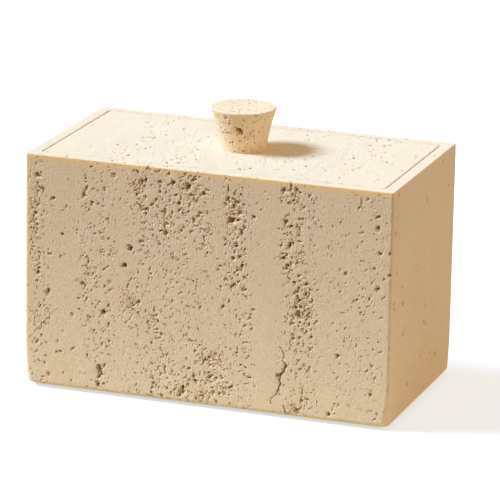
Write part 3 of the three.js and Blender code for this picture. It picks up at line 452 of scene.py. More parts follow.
# Pits of the right face, in mm from its lower front corner
RIGHT_PITS = [
    (4.7, 76, 2, 1.1, 10), (3.8, 68.9, 2, 1.1), (2.9, 63.8, 1.7, 1.6), (7.1, 62, 1.3, 1.1),
    (5.2, 50.4, 1.7, 1.1), (11.3, 44.2, 1.4, 1.1), (2.7, 40.8, 1.3, 1.1), (3.2, 38.8, 2, 1.1),
    (12.6, 38.4, 2, 1.4), (15.5, 29.3, 1.4, 1.1), (13.8, 27.6, 2, 1.3, 20), (36.1, 66.6, 1.3, 1.1),
    (37.2, 30.9, 2, 1.1), (60, 65.9, 1.3, 1.1), (0, 23.6, 0.8, 0.5), (0, 14, 0.35, 4), (0, 6.8, 0.3, 3),
    (0, 27.1, 0.35, 2.2), (39.7, 16.6, 2, 1.1), (33.8, 14.8, 1.3, 1.1), (50.8, 10.4, 1.3, 2.2, -60),
    (44.9, 12.8, 1.3, 1.1), (36.7, 25.5, 1.3, 1.8), (38.8, 24.1, 2, 1.1), (19.5, 9.3, 2, 1.1),
    (46.3, 9.2, 1.4, 1.1),
]

# Pits of the top, in mm from its front left corner
TOP_PITS = [
    (21.7, 53.7, 0.8, 0.9), (27.7, 33.8, 0.6, 1.1), (28.8, 34.6, 0.6, 0.9), (28.4, 30.6, 0.4, 0.9),
    (31, 35.6, 0.6, 1.3), (33.4, 40.4, 0.6, 1), (32.2, 45.1, 0.7, 0.8), (33.4, 21.2, 0.9, 1.3),
    (34.2, 23.7, 0.5, 1.3), (32, 18.3, 0.7, 0.7), (31.7, 10.9, 1.1, 1.8), (49, 22.8, 0.5, 1.4),
    (49.6, 26.8, 0.5, 1.6), (49.1, 16.8, 0.6, 1.2), (47.3, 13.3, 0.8, 1.2), (49.7, 8.2, 1.4, 1.2),
    (46.4, 7.2, 0.7, 1.8), (46.3, 10.7, 0.5, 0.9), (53.3, 14.8, 0.6, 1), (13.9, 1.4, 1.4, 1),
    (42.2, 0, 1.8, 1.6), (73.3, 10.8, 1, 1.5), (63.2, 7.8, 0.5, 1), (67.3, 20, 0.5, 1),
    (80.9, 23.1, 0.7, 1.1), (89, 20.9, 1, 1.2), (86.7, 14.8, 0.9, 0.9), (81.9, 13, 0.5, 1),
    (86.9, 33.5, 0.8, 1.3), (98.8, 39.8, 0.5, 1.3), (99.7, 36.3, 0.9, 1.4), (104.3, 55.2, 1, 1.6),
    (105.7, 57, 0.7, 1.4, 40), (106.7, 60.4, 0.8, 1), (102.2, 46.4, 0.8, 1.1), (104.7, 41.4, 0.7, 1),
    (105.2, 25.3, 0.7, 1.2), (102.7, 21.3, 0.6, 0.9), (96.6, 17.2, 0.9, 0.8), (111.2, 35.9, 0.9, 1.3),
    (119.1, 27.5, 0.9, 1), (119.3, 12.8, 0.6, 0.8), (106.3, 4.6, 0.5, 1.1), (117.6, 47, 0.6, 1),
    (118.5, 44.1, 0.5, 1.1), (123.1, 49.6, 0.5, 1.1), (84.6, 42.7, 0.8, 0.9), (83, 46.2, 0.5, 0.8),
    (90.6, 0, 1.4, 0.9), (115.3, 13.8, 0.6, 1.2),
]

# Bands of small pits across the top: low x, high x, how many; and their smallest and largest
TOP_BANDS = [
    (24, 36, 45), (44, 54, 35), (64, 92, 40), (94, 112, 60), (0, 125, 60),
]
TOP_BAND_SIZES = (0.4, 0.8)

# Pits of the knob's side: degrees from its front towards the right, how high up, width, height, lean
KNOB_PITS = [
    (8.7, 8.3, 2.3, 1.6, 20), (16, 7.7, 1.6, 1.2, 40), (3, 9.1, 1.1, 0.8), (-31, 6.6, 1.5, 0.5),
    (-18.6, 6.9, 1.4, 0.6), (-7.2, 7, 1, 0.45), (-15.7, 12.3, 1, 0.9), (-9.2, 10.3, 1, 0.8),
    (-33.5, 8, 0.7, 0.6), (16.8, 10.2, 0.8, 0.6, 30), (39.4, 11.3, 0.6, 0.5), (39.8, 8.1, 0.8, 0.7, 30),
    (64.7, 7.8, 0.6, 0.6), (-6.7, 3.7, 1.2, 0.8), (28.7, 3.4, 0.6, 0.6), (48.1, 3.6, 0.8, 0.6),
    (-2.7, 0.6, 1.1, 0.6), (18.3, 0.8, 1.3, 0.6), (65, 1.5, 0.6, 0.5), (41.6, 13.3, 0.6, 0.4),
]

# Pits of the knob's top, in mm from its middle
KNOB_TOP_PITS = [
    (-4.4, -0.9, 1, 0.8), (-2, 0.1, 1.2, 0.8), (0.3, -4.4, 0.9, 0.8), (-6.6, 4.2, 0.7, 0.6),
    (3.4, -3.9, 1.4, 0.7), (0.4, 5, 0.8, 0.5),
]

# Small pits anywhere on a surface: how many, smallest and largest
RIGHT_SCATTER = 24, (0.35, 0.6)
LEFT_SCATTER = 50, (0.4, 1.1)
KNOB_SCATTER = 40, (0.35, 0.7)
KNOB_TOP_SCATTER = 24, (0.3, 0.5)

# The knob's worn patch: how far right of its front, height, half width, half height, depth
KNOB_WORN = (1.2, 8.0, 2.2, 2.4, 0.5)

# Bands of pits on the back: their middles, in mm from the box's left end; then, for the small and for the
# large pits of each band, its half width, how many, smallest and largest
STRATA = [8.0, 27.0, 41.0, 57.0, 73.0, 94.0, 118.0]
STRATA_SCATTERS = [(5, 50, (0.45, 0.9)), (3, 14, (0.9, 2.2))]

# One worn patch in each of those bands: lowest and highest place, then half width, half height, depth
STRATA_WORN_PLACES = (10, 65)
STRATA_WORN = (2.5, 5.0, 0.5)

# How far scattered pits stay from the upright edges of the right and left side, and from other edges
UPRIGHT_MARGIN_MM = 2.0
MARGIN_MM = 1.0
BAND_MARGIN_MM = 0.5


def outer_relief():
    """Front, right, back and left side by side, as a strip round the box."""
    strip = Relief(STRIP_MM, HEIGHT_MM, seed=11)
    for patch in FRONT_WORN:
        strip.crumble(*patch)
    for low_x, high_x, low_z, high_z, count, most in FRONT_BANDS:
        strip.scatter((low_x, low_z), (high_x, high_z), count, (BAND_LEAST_MM, most))
    for pit in FRONT_PITS:
        strip.pit(*pit)
    for crack in FRONT_CRACKS:
        strip.groove(crack, CRACK_MM)
    strip.groove(FRONT_SCRATCH, SCRATCH_MM)
    for x, z, *shape in RIGHT_PITS:
        strip.pit(WIDTH_MM + x, z, *shape)
    right, back, left = WIDTH_MM, WIDTH_MM + DEPTH_MM, 2 * WIDTH_MM + DEPTH_MM
    for start, (count, sizes) in ((right, RIGHT_SCATTER), (left, LEFT_SCATTER)):
        strip.scatter((start + UPRIGHT_MARGIN_MM, MARGIN_MM),
                      (start + DEPTH_MM - UPRIGHT_MARGIN_MM, HEIGHT_MM - MARGIN_MM), count, sizes)
    for middle in STRATA:
        x = back + WIDTH_MM - middle
        for half, count, sizes in STRATA_SCATTERS:
            strip.scatter((x - half, BAND_MARGIN_MM), (x + half, HEIGHT_MM - BAND_MARGIN_MM), count, sizes)
        strip.crumble(x, strip.rng.uniform(*STRATA_WORN_PLACES), *STRATA_WORN)
    return strip.settle()


def top_relief():
    """The whole top, rim and lid together."""
    sheet = Relief(WIDTH_MM, DEPTH_MM, seed=23)
    for low, high, count in TOP_BANDS:
        sheet.scatter((low, BAND_MARGIN_MM), (high, DEPTH_MM - BAND_MARGIN_MM), count, TOP_BAND_SIZES)
    for pit in TOP_PITS:
        sheet.pit(*pit)
    return sheet.settle()


def knob_reliefs():
    """The knob's side, unrolled at its middle radius, and its top."""
    round_mm = 2 * math.pi * KNOB_MEAN_RADIUS_MM
    side = Relief(round_mm, KNOB_HEIGHT_MM, seed=37)
    side.scatter((0, BAND_MARGIN_MM), (round_mm, KNOB_HEIGHT_MM - BAND_MARGIN_MM), *KNOB_SCATTER)
    side.crumble(round_mm / 2 + KNOB_WORN[0], *KNOB_WORN[1:])
    for angle, height, *shape in KNOB_PITS:
        side.pit(round_mm / 2 + math.radians(angle) * KNOB_MEAN_RADIUS_MM, height, *shape)
    across = 2 * KNOB_TOP_RADIUS_MM
    top = Relief(across, across, seed=41)
    top.scatter((0, 0), (across, across), *KNOB_TOP_SCATTER)
    for x, y, *shape in KNOB_TOP_PITS:
        top.pit(KNOB_TOP_RADIUS_MM + x, KNOB_TOP_RADIUS_MM + y, *shape)
    return side.settle(), top.settle()


# Meshes from grids


def mesh_from(points, faces):
    """A mesh from an array of points in millimetres and an array of four-sided faces."""
    mesh = bpy.data.meshes.new("surface")
    mesh.vertices.add(len(points))
    mesh.vertices.foreach_set("co", (np.asarray(points) * MM).ravel())
    mesh.loops.add(faces.size)
    mesh.loops.foreach_set("vertex_index", faces.ravel().astype(np.int32))
    mesh.polygons.add(len(faces))
    mesh.polygons.foreach_set("loop_start", (np.arange(len(faces)) * 4).astype(np.int32))
    mesh.update(calc_edges=True)
    return mesh


def ring_faces(rows, cols):
    """Faces between closed rings of points, row after row."""
    here = np.arange(cols)
    there = (here + 1) % cols
    start = (np.arange(rows - 1) * cols)[:, None]
    faces = np.stack([start + here, start + there, start + cols + there, start + cols + here], axis=-1)
    return faces.reshape(-1, 4)


def quarter(steps):
    """Cosine and sine of angles in equal steps up to a right angle, without 0."""
    return [(math.cos(angle), math.sin(angle)) for angle in np.linspace(0, math.pi / 2, steps + 1)[1:]]


def new_object(name, mesh):
    thing = bpy.data.objects.new(name, mesh)
    bpy.context.scene.collection.objects.link(thing)
    return thing


def applied(thing, name, kind, **settings):
    """Runs one modifier on an object and keeps its result as the object's mesh."""
    modifier = thing.modifiers.new(name, kind)
    for key, value in settings.items():
        setattr(modifier, key, value)
    graph = bpy.context.evaluated_depsgraph_get()
    result = bpy.data.meshes.new_from_object(thing.evaluated_get(graph))
    thing.modifiers.remove(modifier)
    thing.data = result


def thin_out(thing, triangles):
    """Keeps the triangles where the surface bends, up to a count."""
    applied(thing, "thin", "DECIMATE", ratio=min(1.0, triangles / (2 * len(thing.data.polygons))))


def drill_out(thing, radius, low, high, x=0.0, y=0.0, sides=64):
    """Cuts a round hole along Z, with all lengths in millimetres."""
    angles = np.arange(sides) * 2 * math.pi / sides
    ring = np.stack([x + radius * np.cos(angles), y + radius * np.sin(angles)], axis=-1)
    points = [(px, py, z) for z in (low, high) for px, py in ring]
    mesh = bpy.data.meshes.new("drill")
    walls = [(i, (i + 1) % sides, sides + (i + 1) % sides, sides + i) for i in range(sides)]
    caps = [tuple(range(sides - 1, -1, -1)), tuple(range(sides, 2 * sides))]
    mesh.from_pydata([Vector(point) * MM for point in points], [], walls + caps)
    drill = new_object("drill", mesh)
    applied(thing, "cut", "BOOLEAN", operation="DIFFERENCE", solver="MANIFOLD", object=drill)
    bpy.data.objects.remove(drill)


def finish_mesh(thing, stain_and_painted_light):
    """Keeps each point's stains and painted shade or highlight, shades smoothly and keeps sharp edges crisp
    and large faces flat.
    """
    layer = thing.data.attributes.new("stain_and_painted_light", "FLOAT", "POINT")
    layer.data.foreach_set("value", np.clip(stain_and_painted_light, -1, 1).astype(np.float32))
    thing.data.polygons.foreach_set("use_smooth", np.ones(len(thing.data.polygons), bool))
    thing.data.set_sharp_from_angle(angle=math.radians(SHARP_DEGREES))
    applied(thing, "flat", "WEIGHTED_NORMAL", keep_sharp=True)


def points_of(thing):
    """The object's points in millimetres."""
    flat = np.empty(len(thing.data.vertices) * 3)
    thing.data.vertices.foreach_get("co", flat)
    return flat.reshape(-1, 3) / MM


# Body of the box


def upright_radius(z):
    """Plan radius of the upright edges at a height above the base."""
    above = min(z / SOFTENING_MM, 1.0)
    return UPRIGHT_RADIUS_MM + (BASE_CORNER_RADIUS_MM - UPRIGHT_RADIUS_MM) * (1 - above) ** 2


# Steps along the front, the right, the back and the left
SIDE_STEPS = [int(length / (GRID_MM * coarser)) for length, coarser in
              ((WIDTH_MM, 1.0), (DEPTH_MM, 1.6), (WIDTH_MM, 2.2), (DEPTH_MM, 2.2))]
CORNER_STEPS = 7


def turned(run, away, turn):
    """A place along the front and away from the middle, turned to another side."""
    return run * math.cos(turn) + away * math.sin(turn), run * math.sin(turn) - away * math.cos(turn)


def outline(half_x, half_y, radius):
    """A rounded rectangle: points, outward directions, and the place on the unrolled strip."""
    turn_share = np.arange(CORNER_STEPS) / CORNER_STEPS
    places = []
    strip_starts = np.cumsum([0, WIDTH_MM, DEPTH_MM, WIDTH_MM, DEPTH_MM])
    sides = [(half_x, half_y, WIDTH_MM), (half_y, half_x, DEPTH_MM)] * 2
    for side, (along, away, full) in enumerate(sides):
        share = np.arange(SIDE_STEPS[side]) / SIDE_STEPS[side]
        run = -along + radius + 2 * (along - radius) * share
        turn = math.radians(90 * side)
        facing = np.full_like(share, turn - math.pi / 2)
        places.append((*turned(run, away, turn), np.cos(facing), np.sin(facing),
                       strip_starts[side] + run + full / 2))
        facing = turn - math.pi / 2 + turn_share * math.pi / 2
        middle_x, middle_y = turned(along - radius, away - radius, turn)
        places.append((middle_x + radius * np.cos(facing), middle_y + radius * np.sin(facing),
                       np.cos(facing), np.sin(facing),
                       strip_starts[side + 1] - radius + 2 * radius * turn_share))
    return [np.concatenate(parts) for parts in zip(*places)]


def body_rows():
    """Rows of the body's skin from the base edge, up the outside, over the rim and down the inside.

    Each row is inset from the outside, plan radius, height, outward share of the facing direction, upward
    share, and how much of the outer and of the top relief it takes.
    """
    rows = []
    for cos, sin in [(1.0, 0.0)] + quarter(8):
        z = BASE_EDGE_MM * (1 - cos)
        rows.append((BASE_EDGE_MM * (1 - sin), upright_radius(z), z, sin, -cos, sin, 0.0))
    wall_top = HEIGHT_MM - RIM_EDGE_MM
    for z in np.linspace(BASE_EDGE_MM, wall_top, int((wall_top - BASE_EDGE_MM) / GRID_MM) + 1)[1:]:
        rows.append((0.0, upright_radius(z), z, 1.0, 0.0, 1.0, 0.0))
    for cos, sin in quarter(4):
        rows.append((RIM_EDGE_MM * (1 - cos), UPRIGHT_RADIUS_MM, wall_top + RIM_EDGE_MM * sin,
                     cos, sin, cos ** 2, sin ** 2))
    for inset in np.linspace(RIM_EDGE_MM, RIM_MM - RIM_INNER_EDGE_MM, int(RIM_MM / GRID_MM) + 1)[1:]:
        rows.append((inset, UPRIGHT_RADIUS_MM, HEIGHT_MM, 0.0, 1.0, 0.0, 1.0))
    for cos, sin in quarter(3):
        rows.append((RIM_MM - RIM_INNER_EDGE_MM * (1 - sin), UPRIGHT_RADIUS_MM,
                     HEIGHT_MM - RIM_INNER_EDGE_MM * (1 - cos), -sin, cos, 0.0, cos))
    ledge = LEDGE_MM - BASE_MM
    for z in np.linspace(HEIGHT_MM - RIM_INNER_EDGE_MM, ledge, 9)[1:]:
        rows.append((RIM_MM, UPRIGHT_RADIUS_MM, z, -1.0, 0.0, 0.0, 0.0))
    for share in np.linspace(0, 1, 5)[1:]:
        radius = UPRIGHT_RADIUS_MM + (SPACE_CORNER_MM - UPRIGHT_RADIUS_MM) * share
        rows.append((RIM_MM + LEDGE_WIDTH_MM * share, radius, ledge, 0.0, 1.0, 0.0, 0.0))
    fillet_top = FLOOR_MM + SPACE_FLOOR_RADIUS_MM
    wall_inset = RIM_MM + LEDGE_WIDTH_MM
    for z in np.linspace(ledge, fillet_top, 12)[1:]:
        inset = wall_inset + SPACE_DRAFT_MM * (ledge - z) / (ledge - fillet_top)
        rows.append((inset, SPACE_CORNER_MM, z, -1.0, 0.0, 0.0, 0.0))
    for cos, sin in quarter(7):
        rows.append((wall_inset + SPACE_DRAFT_MM + SPACE_FLOOR_RADIUS_MM * (1 - cos), SPACE_CORNER_MM,
                     fillet_top - SPACE_FLOOR_RADIUS_MM * sin, -cos, sin, 0.0, 0.0))
    return rows


def close_flat(thing, height, tolerance=TOUCH_MM):
    """Fills the open flat hole at a height in millimetres."""
    work = bmesh.new()
    work.from_mesh(thing.data)
    edges = [edge for edge in work.edges if edge.is_boundary
             and all(abs(vertex.co.z - height * MM) < tolerance * MM for vertex in edge.verts)]
    bmesh.ops.triangle_fill(work, use_beauty=True, use_dissolve=False, edges=edges)
    bmesh.ops.recalc_face_normals(work, faces=work.faces)
    work.to_mesh(thing.data)
    work.free()


def top_at(top, x, y, field="depth"):
    """The top's relief at points of the box."""
    return top.sample(x + WIDTH_MM / 2, y + DEPTH_MM / 2, field)


def make_body(strip, top):
    rows = body_rows()
    skin = []
    for inset, radius, z, outward, upward, side_share, top_share in rows:
        x, y, facing_x, facing_y, spot = outline(WIDTH_MM / 2 - inset, DEPTH_MM / 2 - inset, radius)
        depth = np.zeros_like(x)
        if side_share:
            depth += side_share * strip.sample(spot % STRIP_MM, np.full_like(x, z))
        if top_share:
            depth += top_share * top_at(top, x, y)
        skin.append(np.stack([x - facing_x * outward * depth, y - facing_y * outward * depth,
                              BASE_MM + z - upward * depth], axis=-1))
    body = new_object("box_stone", mesh_from(np.concatenate(skin), ring_faces(len(rows), len(skin[0]))))
    close_flat(body, BASE_MM)
    close_flat(body, BASE_MM + FLOOR_MM)
    thin_out(body, BODY_TRIANGLES)
    pad_low, pad_high = (np.array(corner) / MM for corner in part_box("foot_pad_front_right"))
    pad_x, pad_y = ((pad_low + pad_high) / 2)[:2]
    for x, y in ((-pad_x, -pad_y), (pad_x, -pad_y), (-pad_x, pad_y), (pad_x, pad_y)):
        drill_out(body, PAD_RADIUS_MM + PAD_RECESS_MARGIN_MM, 0.0, BASE_MM + PAD_RECESS_MM, x, y)
    return body


# Lid


def make_lid(top):
    """The lid: a fine grid on top, turned down over its edge, with a plain underside."""
    half_x, half_y = LID_WIDTH_MM / 2, LID_DEPTH_MM / 2
    nx, ny = int(LID_WIDTH_MM / GRID_MM), int(LID_DEPTH_MM / GRID_MM)
    inner_x, inner_y = half_x - LID_EDGE_MM, half_y - LID_EDGE_MM
    grid_x, grid_y = np.meshgrid(np.linspace(-inner_x, inner_x, nx), np.linspace(-inner_y, inner_y, ny))
    # The grid's corners are pulled in to a rounded outline
    radius = LID_CORNER_MM - LID_EDGE_MM
    over_x = np.clip((np.abs(grid_x) - (inner_x - radius)) / radius, 0, 1)
    over_y = np.clip((np.abs(grid_y) - (inner_y - radius)) / radius, 0, 1)
    pulled_x = np.where(over_x * over_y > 0, radius * over_x * (1 - np.sqrt(1 - over_y ** 2 / 2)), 0)
    pulled_y = np.where(over_x * over_y > 0, radius * over_y * (1 - np.sqrt(1 - over_x ** 2 / 2)), 0)
    grid_x = grid_x - np.sign(grid_x) * pulled_x
    grid_y = grid_y - np.sign(grid_y) * pulled_y
    points = np.stack([grid_x, grid_y, LID_TOP_MM - top_at(top, grid_x, grid_y)], axis=-1).reshape(-1, 3)
    row, col = np.meshgrid(np.arange(ny - 1), np.arange(nx - 1), indexing="ij")
    start = row * nx + col
    faces = np.stack([start, start + 1, start + nx + 1, start + nx], axis=-1).reshape(-1, 4)
    border = np.concatenate([np.arange(nx - 1), np.arange(ny - 1) * nx + nx - 1,
                             (ny - 1) * nx + np.arange(nx - 1, 0, -1), np.arange(ny - 1, 0, -1) * nx])
    # The grid's border goes on as rings of points: over the edge, down the side and in at the underside
    edge = points[border]
    core_low, core_high = (radius - inner_x, radius - inner_y), (inner_x - radius, inner_y - radius)
    core = np.clip(edge[:, :2], core_low, core_high)
    outward = edge[:, :2] - core
    outward /= np.maximum(np.linalg.norm(outward, axis=1, keepdims=True), 1e-6)
    edge_depth = LID_TOP_MM - edge[:, 2]
    rings = []
    for cos, sin in quarter(3):
        reach = LID_EDGE_MM * sin - edge_depth * sin * 0.5
        z = LID_TOP_MM - LID_EDGE_MM * (1 - cos) - edge_depth * cos
        rings.append(np.column_stack([edge[:, :2] + outward * reach[:, None], z]))
    side_reach = outward * LID_EDGE_MM
    for z in np.linspace(LID_TOP_MM - LID_EDGE_MM, LEDGE_MM + LID_EDGE_MM, 8)[1:]:
        rings.append(np.column_stack([edge[:, :2] + side_reach, np.full(len(edge), z)]))
    for cos, sin in quarter(3):
        z = np.full(len(edge), LEDGE_MM + LID_EDGE_MM * (1 - sin))
        rings.append(np.column_stack([edge[:, :2] + side_reach * cos, z]))
    skirt = np.concatenate(rings)
    skirt_faces = ring_faces(len(rings), len(border)) + len(points)
    here, there = np.arange(len(border)), (np.arange(len(border)) + 1) % len(border)
    join = np.stack([border[there], border[here], len(points) + here, len(points) + there], axis=-1)
    lid = new_object("lid_stone", mesh_from(np.concatenate([points, skirt]),
                                            np.concatenate([faces, join, skirt_faces[:, ::-1]])))
    thin_out(lid, LID_TRIANGLES)
    close_flat(lid, LEDGE_MM)
    counterbore_top = LEDGE_MM + COUNTERBORE_MM
    drill_out(lid, COUNTERBORE_RADIUS_MM, LEDGE_MM - 2 * DRILL_OVERLAP_MM, counterbore_top)
    drill_out(lid, HOLE_RADIUS_MM, counterbore_top - DRILL_OVERLAP_MM, LID_TOP_MM + 2 * DRILL_OVERLAP_MM)
    return lid


# Knob


def knob_spot(angles):
    """Where directions round the knob lie on its unrolled side; the middle faces the front."""
    return (math.pi + angles + math.pi / 2) * KNOB_MEAN_RADIUS_MM % (2 * math.pi * KNOB_MEAN_RADIUS_MM)


def knob_top_at(top, x, y, field="depth"):
    """The relief of the knob's top at points round its middle."""
    return top.sample(x + KNOB_TOP_RADIUS_MM, y + KNOB_TOP_RADIUS_MM, field)


def make_knob(side, top):
    """The knob: a flared stub turned round Z, with a rounded rim and a blind hole for the insert."""
    sides = int(2 * math.pi * KNOB_TOP_RADIUS_MM / KNOB_GRID_MM)
    angles = np.arange(sides) * 2 * math.pi / sides - math.pi
    rows = []
    for share in np.linspace(0, 1, int(KNOB_HEIGHT_MM / KNOB_GRID_MM)):
        bow = (1 - share) ** 2 * KNOB_BASE_RADIUS_MM + 2 * share * (1 - share) * KNOB_BOW_RADIUS_MM
        radius = bow + share ** 2 * KNOB_TOP_RADIUS_MM
        rows.append((radius, share * (KNOB_HEIGHT_MM - KNOB_EDGE_MM), 1.0, 0.0))
    for cos, sin in quarter(4):
        rows.append((KNOB_TOP_RADIUS_MM - KNOB_EDGE_MM * (1 - cos),
                     KNOB_HEIGHT_MM - KNOB_EDGE_MM * (1 - sin), cos, sin))
    for radius in np.linspace(KNOB_TOP_RADIUS_MM - KNOB_EDGE_MM, KNOB_MIDDLE_RADIUS_MM, 42)[1:]:
        rows.append((radius, KNOB_HEIGHT_MM, 0.0, 1.0))
    spot = knob_spot(angles)
    skin = []
    for radius, z, outward, upward in rows:
        x, y = radius * np.cos(angles), radius * np.sin(angles)
        depth = np.zeros(sides)
        if outward:
            depth += outward ** 2 * side.sample(spot, np.full(sides, z))
        if upward:
            depth += upward ** 2 * knob_top_at(top, x, y)
        shrink = (radius - outward * depth) / radius
        skin.append(np.stack([x * shrink, y * shrink, knob_low[2] + z - upward * depth], axis=-1))
    knob = new_object("knob_stone_painted_light", mesh_from(np.concatenate(skin), ring_faces(len(rows), sides)))
    close_flat(knob, knob_high[2], tolerance=KNOB_MIDDLE_DIP_MM)
    close_flat(knob, knob_low[2])
    thin_out(knob, KNOB_TRIANGLES)
    drill_out(knob, INSERT_HOLE_RADIUS_MM, knob_low[2] - 2 * DRILL_OVERLAP_MM, knob_low[2] + INSERT_HOLE_MM)
    return knob


strip_relief = outer_relief()
lid_relief = top_relief()
knob_side, knob_top = knob_reliefs()

body = make_body(strip_relief, lid_relief)
lid = make_lid(lid_relief)
knob = make_knob(knob_side, knob_top)


def box_marks(points, strip, top):
    """How stained the body is at its points, with painted shade in pits and seam and painted highlights on
    the pits' rims.
    """
    x, y, z = points.T
    gap_x, gap_y = WIDTH_MM / 2 - np.abs(x), DEPTH_MM / 2 - np.abs(y)
    below, above = RIM_TOP_MM - z, z - BASE_MM
    side_gap = np.minimum(gap_x, gap_y)
    front_or_back = np.where(y < 0, x + WIDTH_MM / 2, 1.5 * WIDTH_MM + DEPTH_MM - x)
    right_or_left = np.where(x > 0, WIDTH_MM + y + DEPTH_MM / 2, 2 * WIDTH_MM + 1.5 * DEPTH_MM - y)
    spot = np.where(gap_y < gap_x, front_or_back, right_or_left)
    stain_and_painted_light = strip.sample(spot, above, "stain_and_painted_light") * (side_gap < SIDE_STAIN_AND_PAINTED_LIGHT_MM) * (above > BASE_CLEAN_MM)
    stain_and_painted_light = np.maximum(stain_and_painted_light, top_at(top, x, y, "stain_and_painted_light") * (below < TOP_STAIN_AND_PAINTED_LIGHT_MM))
    # Painted shade on the rim's inner walls, in the seam between rim and lid
    seam = (np.abs(side_gap - RIM_MM) < TOUCH_MM) & (below > SEAM_FROM_MM) & (below < RIM_TOP_MM - LEDGE_MM)
    return np.maximum(stain_and_painted_light, SEAM_PAINTED_SHADE * seam)


def lid_marks(points, top):
    x, y, z = points.T
    below = LID_TOP_MM - z
    edge_gap = np.minimum(LID_WIDTH_MM / 2 - np.abs(x), LID_DEPTH_MM / 2 - np.abs(y))
    stain_and_painted_light = np.where(below < TOP_STAIN_AND_PAINTED_LIGHT_MM, top_at(top, x, y, "stain_and_painted_light"), 0)
    # The lid's edge walls in the seam take painted shade
    return np.where((edge_gap < TOUCH_MM) & (below > SEAM_FROM_MM), SEAM_PAINTED_SHADE, stain_and_painted_light)


def knob_marks(points, side, top):
    x, y, z = points.T
    reach = np.hypot(x, y)
    stain_and_painted_light = side.sample(knob_spot(np.arctan2(y, x)), z - knob_low[2], "stain_and_painted_light")
    stain_and_painted_light = stain_and_painted_light * (reach > KNOB_BASE_RADIUS_MM - TOP_STAIN_AND_PAINTED_LIGHT_MM)
    on_top = (knob_high[2] - z < KNOB_TOP_STAIN_AND_PAINTED_LIGHT_MM) & (reach < KNOB_TOP_RADIUS_MM - KNOB_EDGE_MM)
    return np.where(on_top, knob_top_at(top, x, y, "stain_and_painted_light"), stain_and_painted_light)


finish_mesh(body, box_marks(points_of(body), strip_relief, lid_relief))
finish_mesh(lid, lid_marks(points_of(lid), lid_relief))
finish_mesh(knob, knob_marks(points_of(knob), knob_side, knob_top))

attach(body, "box")
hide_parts("box_body")
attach(lid, "lid")
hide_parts("lid_plate")
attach(knob, "lid")
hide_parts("knob")


# Materials


class Nodes:
    """Short calls for building one node tree."""

    def __init__(self, tree):
        self.tree = tree

    def add(self, kind, **settings):
        node = self.tree.nodes.new(kind)
        for key, value in settings.items():
            setattr(node, key, value)
        return node

    def feed(self, socket, value):
        """Gives an input a number, a colour or vector, or a link."""
        if isinstance(value, bpy.types.NodeSocket):
            self.tree.links.new(value, socket)
        elif isinstance(value, tuple) and socket.type == "RGBA":
            socket.default_value = (*value, 1.0)
        else:
            socket.default_value = value

    def shade(self, **inputs):
        """Feeds the inputs of the material's shader; an underscore stands for a space."""
        for name, value in inputs.items():
            self.feed(self.tree.nodes["Principled BSDF"].inputs[name.replace("_", " ")], value)

    def math(self, operation, first, second=None, clamp=False):
        node = self.add("ShaderNodeMath", operation=operation, use_clamp=clamp)
        self.feed(node.inputs[0], first)
        if second is not None:
            self.feed(node.inputs[1], second)
        return node.outputs[0]

    def vector(self, operation, *values):
        node = self.add("ShaderNodeVectorMath", operation=operation)
        for socket, value in zip(node.inputs, values):
            self.feed(socket, value)
        return node.outputs["Value" if operation in ("DOT_PRODUCT", "LENGTH") else "Vector"]

    def axes(self, vector):
        node = self.add("ShaderNodeSeparateXYZ")
        self.feed(node.inputs[0], vector)
        return node.outputs

    def place(self, *scale):
        """Object coordinates in millimetres, times a scale for each axis."""
        mapping = self.add("ShaderNodeMapping")
        mapping.inputs["Scale"].default_value = [value / MM for value in scale]
        self.feed(mapping.inputs["Vector"], self.add("ShaderNodeTexCoord").outputs["Object"])
        return mapping.outputs["Vector"]

    def noise(self, scale, detail=2.0, rough=0.5, output="Fac"):
        node = self.add("ShaderNodeTexNoise")
        for name, value in (("Scale", 1.0), ("Detail", detail), ("Roughness", rough),
                            ("Vector", self.place(*scale))):
            self.feed(node.inputs[name], value)
        return node.outputs[output]

    def ramp(self, value, stops):
        node = self.add("ShaderNodeValToRGB")
        elements = node.color_ramp.elements
        for index, (position, color) in enumerate(stops):
            element = elements[index] if index < 2 else elements.new(position)
            element.position = position
            element.color = (*color, 1.0)
        self.feed(node.inputs["Fac"], value)
        return node.outputs["Color"]

    def span(self, value, low, high, to_low=0.0, to_high=1.0):
        node = self.add("ShaderNodeMapRange", interpolation_type="SMOOTHSTEP")
        for name, number in zip(("Value", "From Min", "From Max", "To Min", "To Max"),
                                (value, low, high, to_low, to_high)):
            self.feed(node.inputs[name], number)
        return node.outputs["Result"]

    def mix(self, share, first, second):
        node = self.add("ShaderNodeMix", data_type="RGBA")
        for name, value in (("Factor", share), ("A", first), ("B", second)):
            matching = [socket for socket in node.inputs if socket.name == name and socket.enabled]
            self.feed(matching[0], value)
        return [socket for socket in node.outputs if socket.enabled][0]

    def bump(self, height, distance, strength, normal=None):
        node = self.add("ShaderNodeBump")
        self.feed(node.inputs["Strength"], strength)
        self.feed(node.inputs["Distance"], distance * MM)
        self.feed(node.inputs["Height"], height)
        if normal is not None:
            self.feed(node.inputs["Normal"], normal)
        return node.outputs["Normal"]

    def looked_at(self):
        """1 for what the camera sees, straight or by a reflection or through glass, and 0 for lighting."""
        path = self.add("ShaderNodeLightPath")
        glance = self.math("MAXIMUM", path.outputs["Is Camera Ray"], path.outputs["Is Glossy Ray"])
        return self.math("MAXIMUM", glance, path.outputs["Is Transmission Ray"])


def material_nodes(name):
    """A new material and the nodes to build it with."""
    material = bpy.data.materials.new(name)
    material.use_nodes = True
    return material, Nodes(material.node_tree)


def linear(red, green, blue):
    """A colour as it looks on screen, from 0 to 255, as the shader's linear one."""
    def one(value):
        value /= 255
        return value / 12.92 if value <= 0.04045 else ((value + 0.055) / 1.055) ** 2.4
    return one(red), one(green), one(blue)


# Painted light: the pale warm glow near the box's edges
PAINTED_GLOW_COLOR = linear(252, 222, 172)
# Painted highlight on the lower-right rims of pits and pores
PAINTED_RIM_HIGHLIGHT = linear(253, 245, 224)
